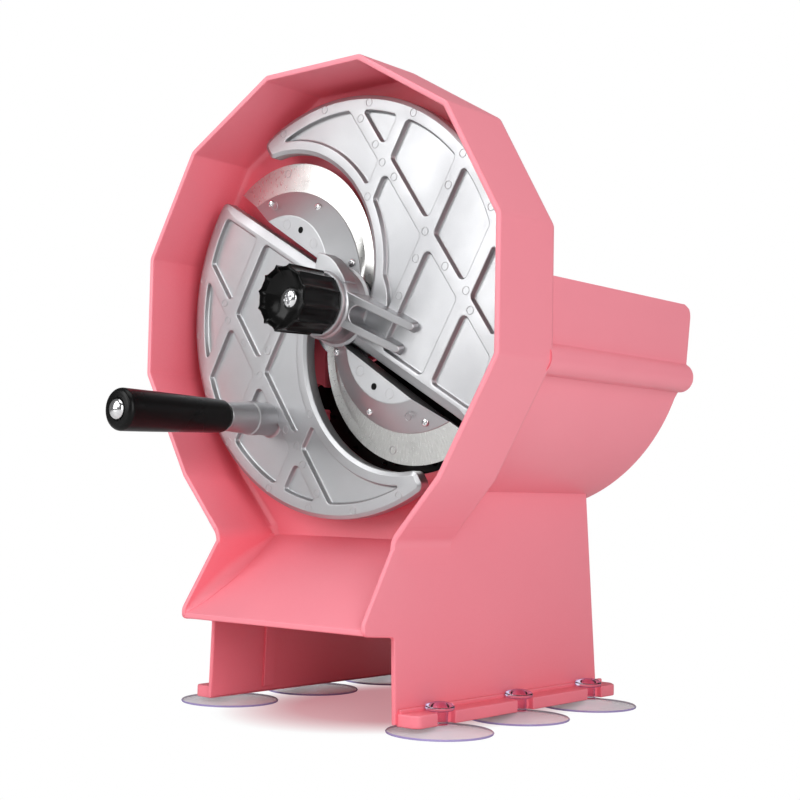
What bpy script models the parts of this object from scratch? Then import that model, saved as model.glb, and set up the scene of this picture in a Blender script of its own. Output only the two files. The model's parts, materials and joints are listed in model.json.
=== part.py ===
"""Hand cranked vegetable slicer with a spinning two-wing disc, a feed trough and suction feet.

Everything is modelled round the disc axis: X to the right, Y from the front to the back and
Z up, with the drum's front rim at Y = 0. One empty then lifts the whole slicer onto its feet.
"""

from math import acos, asin, atan2, cos, hypot, pi, radians, sin, sqrt, tan

import bmesh
import bpy
from mathutils import Matrix, Vector

# Gaps
SEAT_GAP = 0.0003
RUNNING_GAP = 0.0003
SLIDING_GAP = 0.001

# Drum
DRUM_RADIUS = 0.145
DRUM_SIDES = 12
DRUM_DEPTH = 0.051
DRUM_WALL = 0.003
DRUM_CORNER_ROUND = 0.004
RIM_ROUND = 0.0009
AXIS_HEIGHT = 0.2413

# Tray and legs
NOTCH_HALF_WIDTH = 0.071
NOTCH_DROP = 0.138
LEG_WALL = 0.003
LEG_SPREAD = 0.0355
LEG_FRONT = 0.0
LEG_BACK = 0.200
LEG_BACK_TOP = 0.193
LEG_BOTTOM = -0.2365
CHEEK_TIP_REACH = 0.0245
CHEEK_TIP_TOP = -0.1806
CHEEK_TIP_BOTTOM = -0.187
CHEEK_HEEL = -0.189
TRAY_SEAT = 0.0016
TRAY_TOP_DROP = NOTCH_DROP - TRAY_SEAT
TRAY_LIP_TOP = -0.1836
TRAY_THICK = 0.003
STIFFENER_WIDTH = 0.009
STIFFENER_DEPTH = 0.0015
STIFFENER_TOP = -0.192
SHELF_REACH = 0.026
SHELF_THICK = 0.003

# Foot flanges and suction cups
FLANGE_HEIGHT = 0.007
FLANGE_REACH = 0.0886
FLANGE_FRONT = 0.0017
FLANGE_BACK = 0.205
FLANGE_CORNER = 0.003
CUP_COUNT = 3
CUP_FIRST = 0.0272
CUP_PITCH = 0.0745
CUP_LINE = 0.0835
CUP_RADIUS = 0.030
CUP_RIM_WIDTH = 0.0016
CUP_EDGE = 0.0008
CUP_HOLLOW = 0.0018
CUP_STEM_RADIUS = 0.0045
CUP_HEAD_RADIUS = 0.0083
CUP_HEAD_HEIGHT = 0.0052
CUP_HEAD_CHAMFER = 0.0017
CUP_SKIRT_RADIUS = 0.0225
CUP_HOLLOW_RADIUS = 0.018
SLOT_NECK_CLEARANCE = 0.0006
SLOT_MOUTH = 0.0155
SLOT_MOUTH_DEPTH = 0.004

# Feed trough
TROUGH_LENGTH = 0.152
TROUGH_WALL = 0.003
TROUGH_TOP = 0.010
TROUGH_TOP_RIGHT = 0.1395
TROUGH_WAIST_RIGHT = 0.1362
TROUGH_LEFT = -0.049
TROUGH_CORNER_ROUND = 0.008
BEAD_CENTRE = (0.132, -0.035)
BEAD_RADIUS = 0.0092
BEAD_START = 65.0
BEAD_END = -100.0
FLOOR_CENTRE = (0.0195, -0.0025)
FLOOR_RADIUS = 0.1176

# Feed opening and pusher
FEED_CENTRE = (0.040, -0.012)
FEED_RADIUS = 0.0845
FEED_TOP = 0.006
FEED_LEFT = -0.028
FEED_HUB_RADIUS = 0.031
EAR_CENTRE = (-0.0342, -0.053)
EAR_RADIUS = 0.009
RIGHT_EAR_RADIUS = 0.0045
PUSHER_FACE_SETBACK = 0.0005
PUSHER_PLATE_GAP = 0.003
PUSHER_PLATE = 0.008
PUSHER_TOP = 0.003
SPIKE_PAD = 0.0012
SPIKE_HEIGHT = 0.004
SPIKE_RADIUS = 0.0017
SPIKE_TIP = 0.0003
SPIKE_PITCH = 0.0135
SPIKE_MARGIN = 0.004
PUSH_BAR_CENTRE = (0.045, -0.048)
PUSH_BAR_HALF = 0.034
PUSH_BAR_RADIUS = 0.009
PUSH_POST_RADIUS = 0.006
PUSH_POST_LENGTH = 0.030

# Wing plate
WING_CLEARANCE = 0.01026
WING_RADIUS = DRUM_RADIUS * cos(pi / DRUM_SIDES) - DRUM_WALL - WING_CLEARANCE
WING_FRONT = 0.0286
WING_DEPTH = 0.0084
WING_FLOOR = 0.003
WING_EDGE_ANGLE = -30.0
WING_EDGE_OFFSET = 0.014
WING_CORNER_ROUND = 0.006
WING_TIP_ANGLE = 122.0
WING_TIP_ROUND = 0.004
RIM_WIDTH = 0.009
EDGE_RIM_WIDTH = 0.008
SWEEP_SHARE = 0.5875
SWEEP_CENTRE_SHARE = (-0.3786, 0.1893)
SWEEP_RADIUS = WING_RADIUS * SWEEP_SHARE
SWEEP_CENTRE = tuple(WING_RADIUS * share for share in SWEEP_CENTRE_SHARE)
RIB_WIDTH = 0.008
LONG_RIB_ANGLE = -55.0
LONG_RIB_SHARE = 0.5994
CROSS_RIB_ANGLE = 60.0
CROSS_RIB_SHARES = (-0.1065, 0.3099, 0.6443)
POCKET_ROUND = 0.0022
POCKET_HUB_RADIUS = 0.038

# Hub of the wing plate
COLLAR_RADIUS = 0.021
COLLAR_FRONT = 0.017
COLLAR_WALL = 0.003
COLLAR_ROUND = 0.0015
FORK_ANGLE = -23.0
FORK_OFFSET = 0.007
FORK_WIDTH = 0.005
FORK_LENGTH = 0.0655
FORK_LOWER_SHORTER = 0.004
FORK_ROOT_FRONT = 0.0195
FORK_TIP_FRONT = 0.0285
FORK_ROUND = 0.0012

# Hub drive
HEX_FLATS = 0.020
HEX_FRONT = 0.032
DRIVE_GAP = 0.0004
DRIVE_DISC_RADIUS = 0.032
DRIVE_DISC_THICK = 0.0037

# Blade carrier and blades
SLICE_NOW = 0.0024
CARRIER_CLEARANCE = 0.012
CARRIER_RADIUS = SWEEP_RADIUS - CARRIER_CLEARANCE
BAND_FRONT = 0.033
BAND_WIDTH = 0.028
LENS_RADIUS = CARRIER_RADIUS - BAND_WIDTH
LENS_FRONT = 0.0267
LENS_SLOPE = 0.0017
CARRIER_EDGE_OFFSET = 0.0185
COLLAR_CLEARANCE = 0.0013
ROOT_MIDDLE = 68.0
ROOT_HALF_ANGLE = 26.0
BLADE_CLEARANCE = 0.0055
BLADE_WIDTH = 0.024
BLADE_RADIUS = SWEEP_RADIUS - BLADE_CLEARANCE
BLADE_INNER_RADIUS = BLADE_RADIUS - BLADE_WIDTH
BLADE_THICK = 0.0017
BLADE_BEVEL = 0.0055
BLADE_LAND = 0.0003
LENS_HOLE_ANGLE = 55.8
LENS_HOLE_INSET = 0.0042
LENS_HOLE_RADIUS = 0.002
BLADE_SCREW_ANGLES = (109.2, 57.3, 3.2)
BLADE_SCREW_INSETS = (0.0037, 0.0013, 0.0081)
BLADE_SCREW_HEAD = 0.0025
BLADE_SCREW_CROWN = 0.0015
BLADE_SCREW_RISE = 0.0012
BLADE_SCREW_SHANK = 0.0013

# Spindle and bearing
SPINDLE_RADIUS = 0.006
SPINDLE_FRONT = -0.005
SPINDLE_FLANGE_RADIUS = 0.015
BUSH_WALL = 0.003
BOSS_RADIUS = 0.018
BOSS_STAND = 0.0005
BOSS_LENGTH = 0.022
BOSS_RIBS = 3
BOSS_RIB_WIDTH = 0.003
BOSS_RIB_REACH = 0.032
WASHER_RADIUS = 0.013
WASHER_THICK = 0.0015
NUT_FLATS = 0.019
NUT_THICK = 0.0095
SPRING_TURNS = 5
SPRING_RADIUS = 0.0085
SPRING_WIRE = 0.0012
SPRING_POINTS = 10

# Thickness knob
KNOB_RADIUS = 0.020
KNOB_FRONT = -0.0167
KNOB_DISH = 0.0022
KNOB_DISH_RADIUS = 0.0145
KNOB_NECK_RADIUS = 0.0155
KNOB_SHOULDER = 0.010
KNOB_LOBES = 12
KNOB_SCALLOP = 0.0034
KNOB_SCALLOP_OUT = 0.0013
KNOB_ROUND = 0.0014
KNOB_BORE_END = -0.008
KNOB_SEAT_DEPTH = 0.0022
KNOB_SCREW_HEAD = 0.0048
KNOB_SCREW_DOME = 0.0026
KNOB_SCREW_SHANK = 0.0019
CROSS_LENGTH = 0.55
CROSS_WIDTH = 0.13
CROSS_DEPTH = 0.6

# Crank
CRANK_PLACE = (-0.0585, -0.0664)
CRANK_BOSS_TOP_RADIUS = 0.0103
CRANK_BOSS_FOOT_RADIUS = 0.015
CRANK_BOSS_FRONT = 0.017
SLEEVE_RADIUS = 0.00885
SLEEVE_RING_RADIUS = 0.0103
SLEEVE_RING = 0.0025
SLEEVE_FRONT = 0.0
PIN_RADIUS = 0.0035
PIN_END = 0.0345
GRIP_LENGTH = 0.0885
GRIP_END_RADIUS = 0.01225
GRIP_NECK_RADIUS = 0.010
GRIP_WAIST_RADIUS = 0.0116
GRIP_SWELL_START = 0.30
GRIP_SWELL_END = 0.62
GRIP_ROUND = 0.003
GRIP_SCREW_RADIUS = 0.006
GRIP_SCREW_RISE = 0.0032

# Facets
FINE_STEPS = 40
PLAIN_STEPS = 28
COARSE_STEPS = 20
ARC_STEP = radians(7.5)

# Colours: red, green, blue, roughness, metallic
PINK = (0.905, 0.300, 0.365, 0.42, 0.0)
CAST_ALUMINIUM = (0.78, 0.79, 0.80, 0.34, 1.0)
BLADE_STEEL = (0.72, 0.73, 0.74, 0.26, 1.0)
BRIGHT_STEEL = (0.80, 0.80, 0.82, 0.15, 1.0)
BRONZE = (0.62, 0.44, 0.24, 0.35, 1.0)
BLACK_PLASTIC = (0.012, 0.012, 0.013, 0.28, 0.0)
CLEAR_VINYL = (0.86, 0.84, 0.93, 0.12, 0.0)


def polar(radius, angle, centre=(0.0, 0.0)):
    """Point at a radius and an angle in the front view."""
    return (centre[0] + radius * cos(angle), centre[1] + radius * sin(angle))


def arc(centre, radius, start, end, step=ARC_STEP):
    """Points along an arc, both ends included."""
    count = max(2, int(round(abs(end - start) / step)))
    return [polar(radius, start + (end - start) * i / count, centre) for i in range(count + 1)]


def turned_point(point, angle):
    """Point turned about the disc axis."""
    return (point[0] * cos(angle) - point[1] * sin(angle), point[0] * sin(angle) + point[1] * cos(angle))


def circles_meet(centre_a, radius_a, centre_b, radius_b, side):
    """Point where two circles meet, on the left of the line from a to b for side 1."""
    dx, dz = centre_b[0] - centre_a[0], centre_b[1] - centre_a[1]
    span = hypot(dx, dz)
    along = (span * span + radius_a ** 2 - radius_b ** 2) / (2 * span)
    across = side * sqrt(radius_a ** 2 - along ** 2)
    return (centre_a[0] + (along * dx - across * dz) / span, centre_a[1] + (along * dz + across * dx) / span)


def angle_of(point, centre=(0.0, 0.0)):
    """Direction of a point seen from a centre."""
    return atan2(point[1] - centre[1], point[0] - centre[0])


def clipped(outline, direction, limit, side):
    """Part of an outline beyond a limit along a direction, for side 1, or short of it, for side -1."""
    kept = []
    normal = (sin(direction), cos(direction))
    heights = [side * (x * normal[0] + z * normal[1] - limit) for x, z in outline]
    for i, (x, z) in enumerate(outline):
        before = outline[i - 1]
        if (heights[i - 1] > 0) != (heights[i] > 0):
            share = heights[i - 1] / (heights[i - 1] - heights[i])
            kept.append((before[0] + share * (x - before[0]), before[1] + share * (z - before[1])))
        if heights[i] > 0:
            kept.append((x, z))
    return kept


def filleted(outline, radius, segments=2, least_turn=35.0):
    """Outline with its sharp corners rounded and its shortest steps left out."""
    spaced = [p for i, p in enumerate(outline)
              if hypot(p[0] - outline[i - 1][0], p[1] - outline[i - 1][1]) > radius / 4]
    result = []
    for i, corner in enumerate(spaced):
        before, after = spaced[i - 1], spaced[(i + 1) % len(spaced)]
        inward = Vector(before) - Vector(corner)
        outward = Vector(after) - Vector(corner)
        turn = pi - inward.angle(outward)
        if turn < radians(least_turn):
            result.append(corner)
            continue
        reach = min(radius * tan(turn / 2), inward.length / 2.2, outward.length / 2.2)
        first = Vector(corner) + inward.normalized() * reach
        last = Vector(corner) + outward.normalized() * reach
        for step in range(segments + 1):
            share = step / segments
            rest = 1 - share
            point = first * rest ** 2 + Vector(corner) * (2 * share * rest) + last * share ** 2
            result.append((point.x, point.y))
    return result


def make_collection(name):
    """New collection in the scene."""
    collection = bpy.data.collections.new(name)
    bpy.context.scene.collection.children.link(collection)
    return collection


def make_material(name, finish):
    """Principled material from a colour, a roughness and a metallic value."""
    red, green, blue, roughness, metallic = finish
    material = bpy.data.materials.new(name)
    material.use_nodes = True
    shader = material.node_tree.nodes["Principled BSDF"]
    shader.inputs["Base Color"].default_value = (red, green, blue, 1.0)
    shader.inputs["Roughness"].default_value = roughness
    shader.inputs["Metallic"].default_value = metallic
    material.diffuse_color = (red, green, blue, 1.0)
    return material


def make_empty(name, location, parent=None):
    """Axis or frame that pieces hang from."""
    empty = bpy.data.objects.new(name, None)
    empty.empty_display_size = CUP_RADIUS
    empty.location = location
    empty.parent = parent
    slicer.objects.link(empty)
    return empty


def add_piece(name, mesh, finish, parent, smooth=True):
    """Object in the slicer's collection with its own material."""
    piece = bpy.data.objects.new(name, mesh)
    mesh.materials.clear()
    mesh.materials.append(make_material(name + "_finish", finish))
    piece.parent = parent
    slicer.objects.link(piece)
    if smooth:
        mesh.shade_smooth()
        mesh.set_sharp_from_angle(angle=radians(35))
    return piece


def add_cutter(name, mesh, parent):
    """Tool body for a Boolean, kept out of the model."""
    cutter = bpy.data.objects.new(name, mesh)
    cutter.parent = parent
    cutter.hide_render = True
    cutter.display_type = "WIRE"
    cutters.objects.link(cutter)
    return cutter


def combine(piece, tool, operation):
    """Boolean of a piece with a tool body."""
    boolean = piece.modifiers.new(tool.name, "BOOLEAN")
    boolean.operation = operation
    boolean.object = tool
    boolean.solver = "EXACT"


def bevel(piece, width, segments=2, angle=50.0):
    """Rounded edges wherever two faces meet more sharply than the angle."""
    rounding = piece.modifiers.new("edge_rounding", "BEVEL")
    rounding.width = width
    rounding.segments = segments
    rounding.limit_method = "ANGLE"
    rounding.angle_limit = radians(angle)
    rounding.use_clamp_overlap = True


def mesh_from(piece):
    """Evaluated mesh of an object in its parent's frame, after which the object is gone."""
    bpy.context.view_layer.update()
    graph = bpy.context.evaluated_depsgraph_get()
    mesh = bpy.data.meshes.new_from_object(piece.evaluated_get(graph))
    mesh.transform(piece.matrix_local)
    data = piece.data
    bpy.data.objects.remove(piece)
    if isinstance(data, bpy.types.Curve):
        bpy.data.curves.remove(data)
    return mesh


def weld(mesh):
    """Close the seams of a mesh and point its faces out."""
    work = bmesh.new()
    work.from_mesh(mesh)
    bmesh.ops.remove_doubles(work, verts=work.verts, dist=1e-6)
    bmesh.ops.recalc_face_normals(work, faces=work.faces)
    work.to_mesh(mesh)
    work.free()
    return mesh


# Turns the flat XY outline of a curve into the front, side or top view
VIEWS = {
    "front": Matrix(((1, 0, 0, 0), (0, 0, 1, 0), (0, 1, 0, 0), (0, 0, 0, 1))),
    "side": Matrix(((0, 0, 1, 0), (1, 0, 0, 0), (0, 1, 0, 0), (0, 0, 0, 1))),
    "top": Matrix.Identity(4),
}


def plate(name, loops, start, thickness, view="front"):
    """Flat plate from closed outlines, seen from the front, the side or the top."""
    curve = bpy.data.curves.new(name, "CURVE")
    curve.dimensions = "2D"
    curve.fill_mode = "BOTH"
    curve.extrude = thickness / 2
    for loop in loops:
        spline = curve.splines.new("POLY")
        spline.points.add(len(loop) - 1)
        for point, (across, up) in zip(spline.points, loop):
            point.co = (across, up, 0.0, 1.0)
        spline.use_cyclic_u = True
    flat = bpy.data.objects.new(name, curve)
    bpy.context.scene.collection.objects.link(flat)
    mesh = mesh_from(flat)
    mesh.transform(Matrix.Translation((0, 0, start + thickness / 2)))
    mesh.transform(VIEWS[view])
    return weld(mesh)


def turned(name, profile, steps=PLAIN_STEPS, place=(0.0, 0.0), upright=False):
    """Turned solid from (radius, position) points, along Y, or along Z when upright."""
    mesh = bpy.data.meshes.new(name)
    points = [(radius, 0.0, position) for radius, position in profile]
    mesh.from_pydata(points, [(i, i + 1) for i in range(len(points) - 1)], [])
    blank = bpy.data.objects.new(name, mesh)
    bpy.context.scene.collection.objects.link(blank)
    screw = blank.modifiers.new("turning", "SCREW")
    screw.axis = "Z"
    screw.steps = steps
    screw.render_steps = steps
    screw.use_merge_vertices = True
    screw.merge_threshold = 1e-6
    solid = mesh_from(blank)
    if upright:
        solid.transform(Matrix.Translation((place[0], place[1], 0.0)))
    else:
        solid.transform(Matrix.Translation((place[0], 0.0, place[1])) @ Matrix.Rotation(-pi / 2, 4, "X"))
    return weld(solid)


def cylinder(name, radius, start, end, steps=PLAIN_STEPS, place=(0.0, 0.0)):
    """Plain round bar along Y."""
    return turned(name, [(0.0, start), (radius, start), (radius, end), (0.0, end)], steps, place)


def tube_profile(inner, outer, start, end):
    """Closed profile of a plain ring."""
    return [(inner, start), (outer, start), (outer, end), (inner, end), (inner, start)]


def hexagon(flats, turn=0.0):
    """Hexagon outline by its size across the flats."""
    corner = flats / 2 / cos(pi / 6)
    return [polar(corner, turn + i * pi / 3) for i in range(6)]


def box(name, low, high):
    """Block between two corners."""
    mesh = bpy.data.meshes.new(name)
    work = bmesh.new()
    size = [high[i] - low[i] for i in range(3)]
    centre = [(high[i] + low[i]) / 2 for i in range(3)]
    bmesh.ops.create_cube(work, size=1.0, matrix=Matrix.Translation(centre) @ Matrix.Diagonal((*size, 1.0)))
    work.to_mesh(mesh)
    work.free()
    return mesh


def joined(name, meshes):
    """Several closed bodies in one mesh."""
    work = bmesh.new()
    for mesh in meshes:
        work.from_mesh(mesh)
    result = bpy.data.meshes.new(name)
    work.to_mesh(result)
    work.free()
    return result


def round_corners(mesh, corners, radius, segments=3):
    """Round the edges of a front-view plate that stand on the given corner points."""
    work = bmesh.new()
    work.from_mesh(mesh)
    chosen = []
    for edge in work.edges:
        first, second = (v.co for v in edge.verts)
        along = abs(first.y - second.y) > 1e-4 and hypot(first.x - second.x, first.z - second.z) < 1e-5
        if along and any(hypot(first.x - x, first.z - z) < 1e-5 for x, z in corners):
            chosen.append(edge)
    bmesh.ops.bevel(work, geom=chosen, offset=radius, segments=segments, profile=0.5, affect="EDGES",
                    clamp_overlap=True)
    work.to_mesh(mesh)
    work.free()
    return mesh


def chamfer_rims(mesh, width):
    """Chamfer the front and back outline of a front-view plate."""
    work = bmesh.new()
    work.from_mesh(mesh)
    rims = [edge for edge in work.edges if edge.calc_face_angle(0.0) > radians(60)
            and abs(edge.verts[0].co.y - edge.verts[1].co.y) < 1e-6]
    bmesh.ops.bevel(work, geom=rims, offset=width, segments=1, affect="EDGES", clamp_overlap=True)
    work.to_mesh(mesh)
    work.free()
    return mesh


def open_shell(name, outline, start, length, back=False):
    """Open ribbon along an outline, drawn back along Y, with an optional closed back."""
    work = bmesh.new()
    row = [work.verts.new((x, start, z)) for x, z in outline]
    edges = [work.edges.new(pair) for pair in zip(row, row[1:])]
    drawn = bmesh.ops.extrude_edge_only(work, edges=edges)["geom"]
    moved = [item for item in drawn if isinstance(item, bmesh.types.BMVert)]
    bmesh.ops.translate(work, verts=moved, vec=(0.0, length, 0.0))
    if back:
        rear_edges = [item for item in drawn if isinstance(item, bmesh.types.BMEdge)]
        bmesh.ops.contextual_create(work, geom=rear_edges + moved)
    bmesh.ops.recalc_face_normals(work, faces=work.faces)
    mesh = bpy.data.meshes.new(name)
    work.to_mesh(mesh)
    work.free()
    return mesh


def face_outward(mesh, centre):
    """Flip an open surface whose first side face looks towards its centre."""
    face = mesh.polygons[0]
    outward = Vector((face.center.x - centre[0], 0.0, face.center.z - centre[1]))
    if face.normal.dot(outward) < 0:
        mesh.flip_normals()
    return mesh


def bevel_edges(mesh, width, segments, keep):
    """Round the inner edges of an open surface that the test keeps."""
    work = bmesh.new()
    work.from_mesh(mesh)
    chosen = [edge for edge in work.edges if not edge.is_boundary and keep(edge)]
    bmesh.ops.bevel(work, geom=chosen, offset=width, segments=segments, profile=0.5, affect="EDGES",
                    clamp_overlap=True)
    work.to_mesh(mesh)
    work.free()
    return mesh


def thicken(piece, wall):
    """Solidify an open surface inwards."""
    solidify = piece.modifiers.new("wall", "SOLIDIFY")
    solidify.thickness = wall
    solidify.offset = -1.0
    solidify.use_even_offset = True


def leg_outer(height):
    """Half width between the outer faces of the legs at a height."""
    return NOTCH_HALF_WIDTH + LEG_SPREAD * (-NOTCH_DROP - height)


def trough_floor(across):
    """Height of the underside of the trough's round floor."""
    return FLOOR_CENTRE[1] - sqrt(FLOOR_RADIUS ** 2 - (across - FLOOR_CENTRE[0]) ** 2)


def drum_outline():
    """Twelve sided outline that is open over the tray, from the right notch round to the left."""
    step = 360 // DRUM_SIDES
    corners = [polar(DRUM_RADIUS, radians(angle)) for angle in range(-45, 226, step)]
    return [(NOTCH_HALF_WIDTH, -NOTCH_DROP), *corners, (-NOTCH_HALF_WIDTH, -NOTCH_DROP)]


def feed_outline(inset):
    """Outline of the feed opening, drawn in by a clearance for what slides through it."""
    radius = FEED_RADIUS - inset
    hub = FEED_HUB_RADIUS + inset
    left = FEED_LEFT + inset
    top = FEED_TOP - inset
    start = asin((top - FEED_CENTRE[1]) / radius)
    end = -acos((left - FEED_CENTRE[0]) / radius)
    below = arc(FEED_CENTRE, radius, start, end)
    notch = arc((0.0, 0.0), hub, -acos(left / hub), asin(top / hub))
    return below + notch


def inside_feed(across, up, inset):
    """Whether a point lies in the feed opening drawn in by a margin."""
    in_round = hypot(across - FEED_CENTRE[0], up - FEED_CENTRE[1]) < FEED_RADIUS - inset
    off_hub = hypot(across, up) > FEED_HUB_RADIUS + inset
    return in_round and off_hub and across > FEED_LEFT + inset and up < FEED_TOP - inset


def make_drum():
    """Twelve sided drum with its back wall, feed opening and shaft boss."""
    shell = open_shell("drum_shell", drum_outline(), 0.0, DRUM_DEPTH, back=True)
    face_outward(shell, (0.0, 0.0))
    bevel_edges(shell, DRUM_CORNER_ROUND, 2, lambda edge: True)
    drum = add_piece("drum_housing", shell, PINK, frame)
    thicken(drum, DRUM_WALL)
    bevel(drum, RIM_ROUND, segments=2, angle=60.0)

    back = DRUM_DEPTH
    wall_front = back - DRUM_WALL
    boss = cylinder("boss_blank", BOSS_RADIUS, wall_front - BOSS_STAND, wall_front + BOSS_LENGTH)
    combine(drum, add_cutter("boss_blank", boss, frame), "UNION")
    ribs = []
    for number in range(BOSS_RIBS):
        rib = box("boss_rib", (BOSS_RADIUS - BUSH_WALL, back - DRUM_WALL / 2, -BOSS_RIB_WIDTH / 2),
                  (BOSS_RIB_REACH, back + BOSS_LENGTH / 2, BOSS_RIB_WIDTH / 2))
        rib.transform(Matrix.Rotation(-radians(45 + 60 * number), 4, "Y"))
        ribs.append(rib)
    combine(drum, add_cutter("boss_ribs", joined("boss_ribs", ribs), frame), "UNION")

    opening = plate("feed_opening", [feed_outline(0.0)], wall_front - DRUM_WALL, 3 * DRUM_WALL)
    combine(drum, add_cutter("feed_opening", opening, frame), "DIFFERENCE")
    ear = cylinder("ear_scallop", EAR_RADIUS, wall_front - DRUM_WALL, back + DRUM_WALL, COARSE_STEPS,
                   EAR_CENTRE)
    combine(drum, add_cutter("ear_scallop", ear, frame), "DIFFERENCE")
    bore_radius = SPINDLE_RADIUS + RUNNING_GAP + BUSH_WALL + SEAT_GAP
    bore = cylinder("boss_bore", bore_radius, 0.0, 2 * DRUM_DEPTH)
    combine(drum, add_cutter("boss_bore", bore, frame), "DIFFERENCE")


def make_tray():
    """Sloped floor between the cheeks, with a thicker lip at its front edge."""
    back = DRUM_DEPTH - DRUM_WALL - SEAT_GAP
    slope = (TRAY_LIP_TOP + TRAY_TOP_DROP) / (back + CHEEK_TIP_REACH)
    below = TRAY_THICK * sqrt(1 + slope * slope)
    front = -CHEEK_TIP_REACH
    heel = front + TRAY_THICK + 2 * RIM_ROUND
    outline = [
        (back, -TRAY_TOP_DROP),
        (front, TRAY_LIP_TOP),
        (front, CHEEK_TIP_BOTTOM),
        (heel, CHEEK_TIP_BOTTOM),
        (heel + TRAY_THICK, TRAY_LIP_TOP - slope * (heel + TRAY_THICK - front) - below),
        (back, -TRAY_TOP_DROP - below),
    ]
    mesh = plate("discharge_tray", [outline], -1.0, 2.0, "side")
    for vertex in mesh.vertices:
        half = leg_outer(vertex.co.z) - LEG_WALL - SEAT_GAP
        vertex.co.x = half if vertex.co.x > 0 else -half
    tray = add_piece("discharge_tray", mesh, PINK, frame)
    bevel(tray, RIM_ROUND, segments=1, angle=40.0)


def flange_outline():
    """Foot flange seen from above, with a stepped slot for each suction cup."""
    inner = leg_outer(LEG_BOTTOM) - LEG_WALL / 2
    neck = CUP_STEM_RADIUS + SLOT_NECK_CLEARANCE
    step = FLANGE_REACH - SLOT_MOUTH_DEPTH
    points = [(inner, FLANGE_FRONT), (FLANGE_REACH - FLANGE_CORNER, FLANGE_FRONT),
              (FLANGE_REACH, FLANGE_FRONT + FLANGE_CORNER)]
    for number in range(CUP_COUNT):
        middle = CUP_FIRST + number * CUP_PITCH
        points += [(FLANGE_REACH, middle - SLOT_MOUTH / 2), (step, middle - SLOT_MOUTH / 2)]
        points += [(step, middle - neck), (CUP_LINE - neck, middle - neck)]
        points += [(CUP_LINE - neck, middle + neck), (step, middle + neck)]
        points += [(step, middle + SLOT_MOUTH / 2), (FLANGE_REACH, middle + SLOT_MOUTH / 2)]
    points += [(FLANGE_REACH, FLANGE_BACK - 2 * FLANGE_CORNER),
               (FLANGE_REACH - 2 * FLANGE_CORNER, FLANGE_BACK),
               (inner, FLANGE_BACK)]
    return points


def make_leg(name, side):
    """Leg panel with the tray's cheek, its stiffener and its slotted foot flange."""
    rear = DRUM_DEPTH + SEAT_GAP
    drum_clear = -NOTCH_DROP - SEAT_GAP
    trough_clear = trough_floor(leg_outer(-NOTCH_DROP) - LEG_WALL) - 2 * SEAT_GAP
    if side < 0:
        trough_clear = trough_floor(TROUGH_LEFT) - LEG_WALL - 2 * SEAT_GAP
    outline = [
        (LEG_FRONT, drum_clear),
        (-CHEEK_TIP_REACH, CHEEK_TIP_TOP),
        (-CHEEK_TIP_REACH, CHEEK_TIP_BOTTOM),
        (LEG_FRONT, CHEEK_HEEL),
        (LEG_FRONT, LEG_BOTTOM),
        (LEG_BACK, LEG_BOTTOM),
        (LEG_BACK_TOP, trough_clear),
        (rear, trough_clear),
        (rear, drum_clear),
    ]
    panel = plate(name, [outline], NOTCH_HALF_WIDTH - LEG_WALL, LEG_WALL, "side")
    for vertex in panel.vertices:
        vertex.co.x += leg_outer(vertex.co.z) - NOTCH_HALF_WIDTH
    flange = plate(name + "_flange", [flange_outline()], LEG_BOTTOM, FLANGE_HEIGHT, "top")
    stiffener = plate(name + "_stiffener",
                      [[(rear - STIFFENER_WIDTH, LEG_BOTTOM + RIM_ROUND), (rear, LEG_BOTTOM + RIM_ROUND),
                        (rear, STIFFENER_TOP), (rear - STIFFENER_WIDTH, STIFFENER_TOP)]],
                      NOTCH_HALF_WIDTH - LEG_WALL - STIFFENER_DEPTH, LEG_WALL, "side")
    for vertex in stiffener.vertices:
        vertex.co.x += leg_outer(vertex.co.z) - NOTCH_HALF_WIDTH
    tools = [flange, stiffener]
    if side < 0:
        outer = leg_outer(trough_clear)
        tools.append(box(name + "_shelf", (outer - SHELF_REACH, rear, trough_clear - SHELF_THICK),
                         (outer - LEG_WALL / 2, LEG_BACK_TOP, trough_clear)))
    for mesh in [panel, *tools]:
        mesh.transform(Matrix.Diagonal((side, 1, 1, 1)))
        weld(mesh)
    leg = add_piece(name, panel, PINK, frame)
    for tool in tools:
        combine(leg, add_cutter(tool.name, tool, frame), "UNION")
    bevel(leg, RIM_ROUND / 2, segments=1, angle=60.0)


def trough_outline():
    """Outside of the trough in the front view, from the right wall's top to the left wall's top."""
    bead = arc(BEAD_CENTRE, BEAD_RADIUS, radians(BEAD_START), radians(BEAD_END), radians(18))
    waist = (TROUGH_WAIST_RIGHT, bead[0][1])
    bead_foot = bead[-1][1]
    right = asin((bead_foot - FLOOR_CENTRE[1]) / FLOOR_RADIUS)
    left = -acos((TROUGH_LEFT - FLOOR_CENTRE[0]) / FLOOR_RADIUS)
    floor = arc(FLOOR_CENTRE, FLOOR_RADIUS, right - radians(2), left)
    return [(TROUGH_TOP_RIGHT, TROUGH_TOP), waist, *bead[1:], *floor, (TROUGH_LEFT, TROUGH_TOP)]


def make_trough():
    """Feed trough with its round floor and the half round bead along the right wall."""
    start = DRUM_DEPTH + SEAT_GAP
    shell = open_shell("trough_shell", trough_outline(), start, TROUGH_LENGTH)
    face_outward(shell, FLOOR_CENTRE)
    work = bmesh.new()
    work.from_mesh(shell)
    corners = [v for v in work.verts
               if v.co.z > TROUGH_TOP - RIM_ROUND and v.co.y > start + TROUGH_LENGTH / 2]
    bmesh.ops.bevel(work, geom=corners, offset=TROUGH_CORNER_ROUND, segments=3, affect="VERTICES",
                    clamp_overlap=True)
    work.to_mesh(shell)
    work.free()
    trough = add_piece("feed_trough", shell, PINK, frame)
    thicken(trough, TROUGH_WALL)
    bevel(trough, RIM_ROUND, segments=1, angle=60.0)


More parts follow.
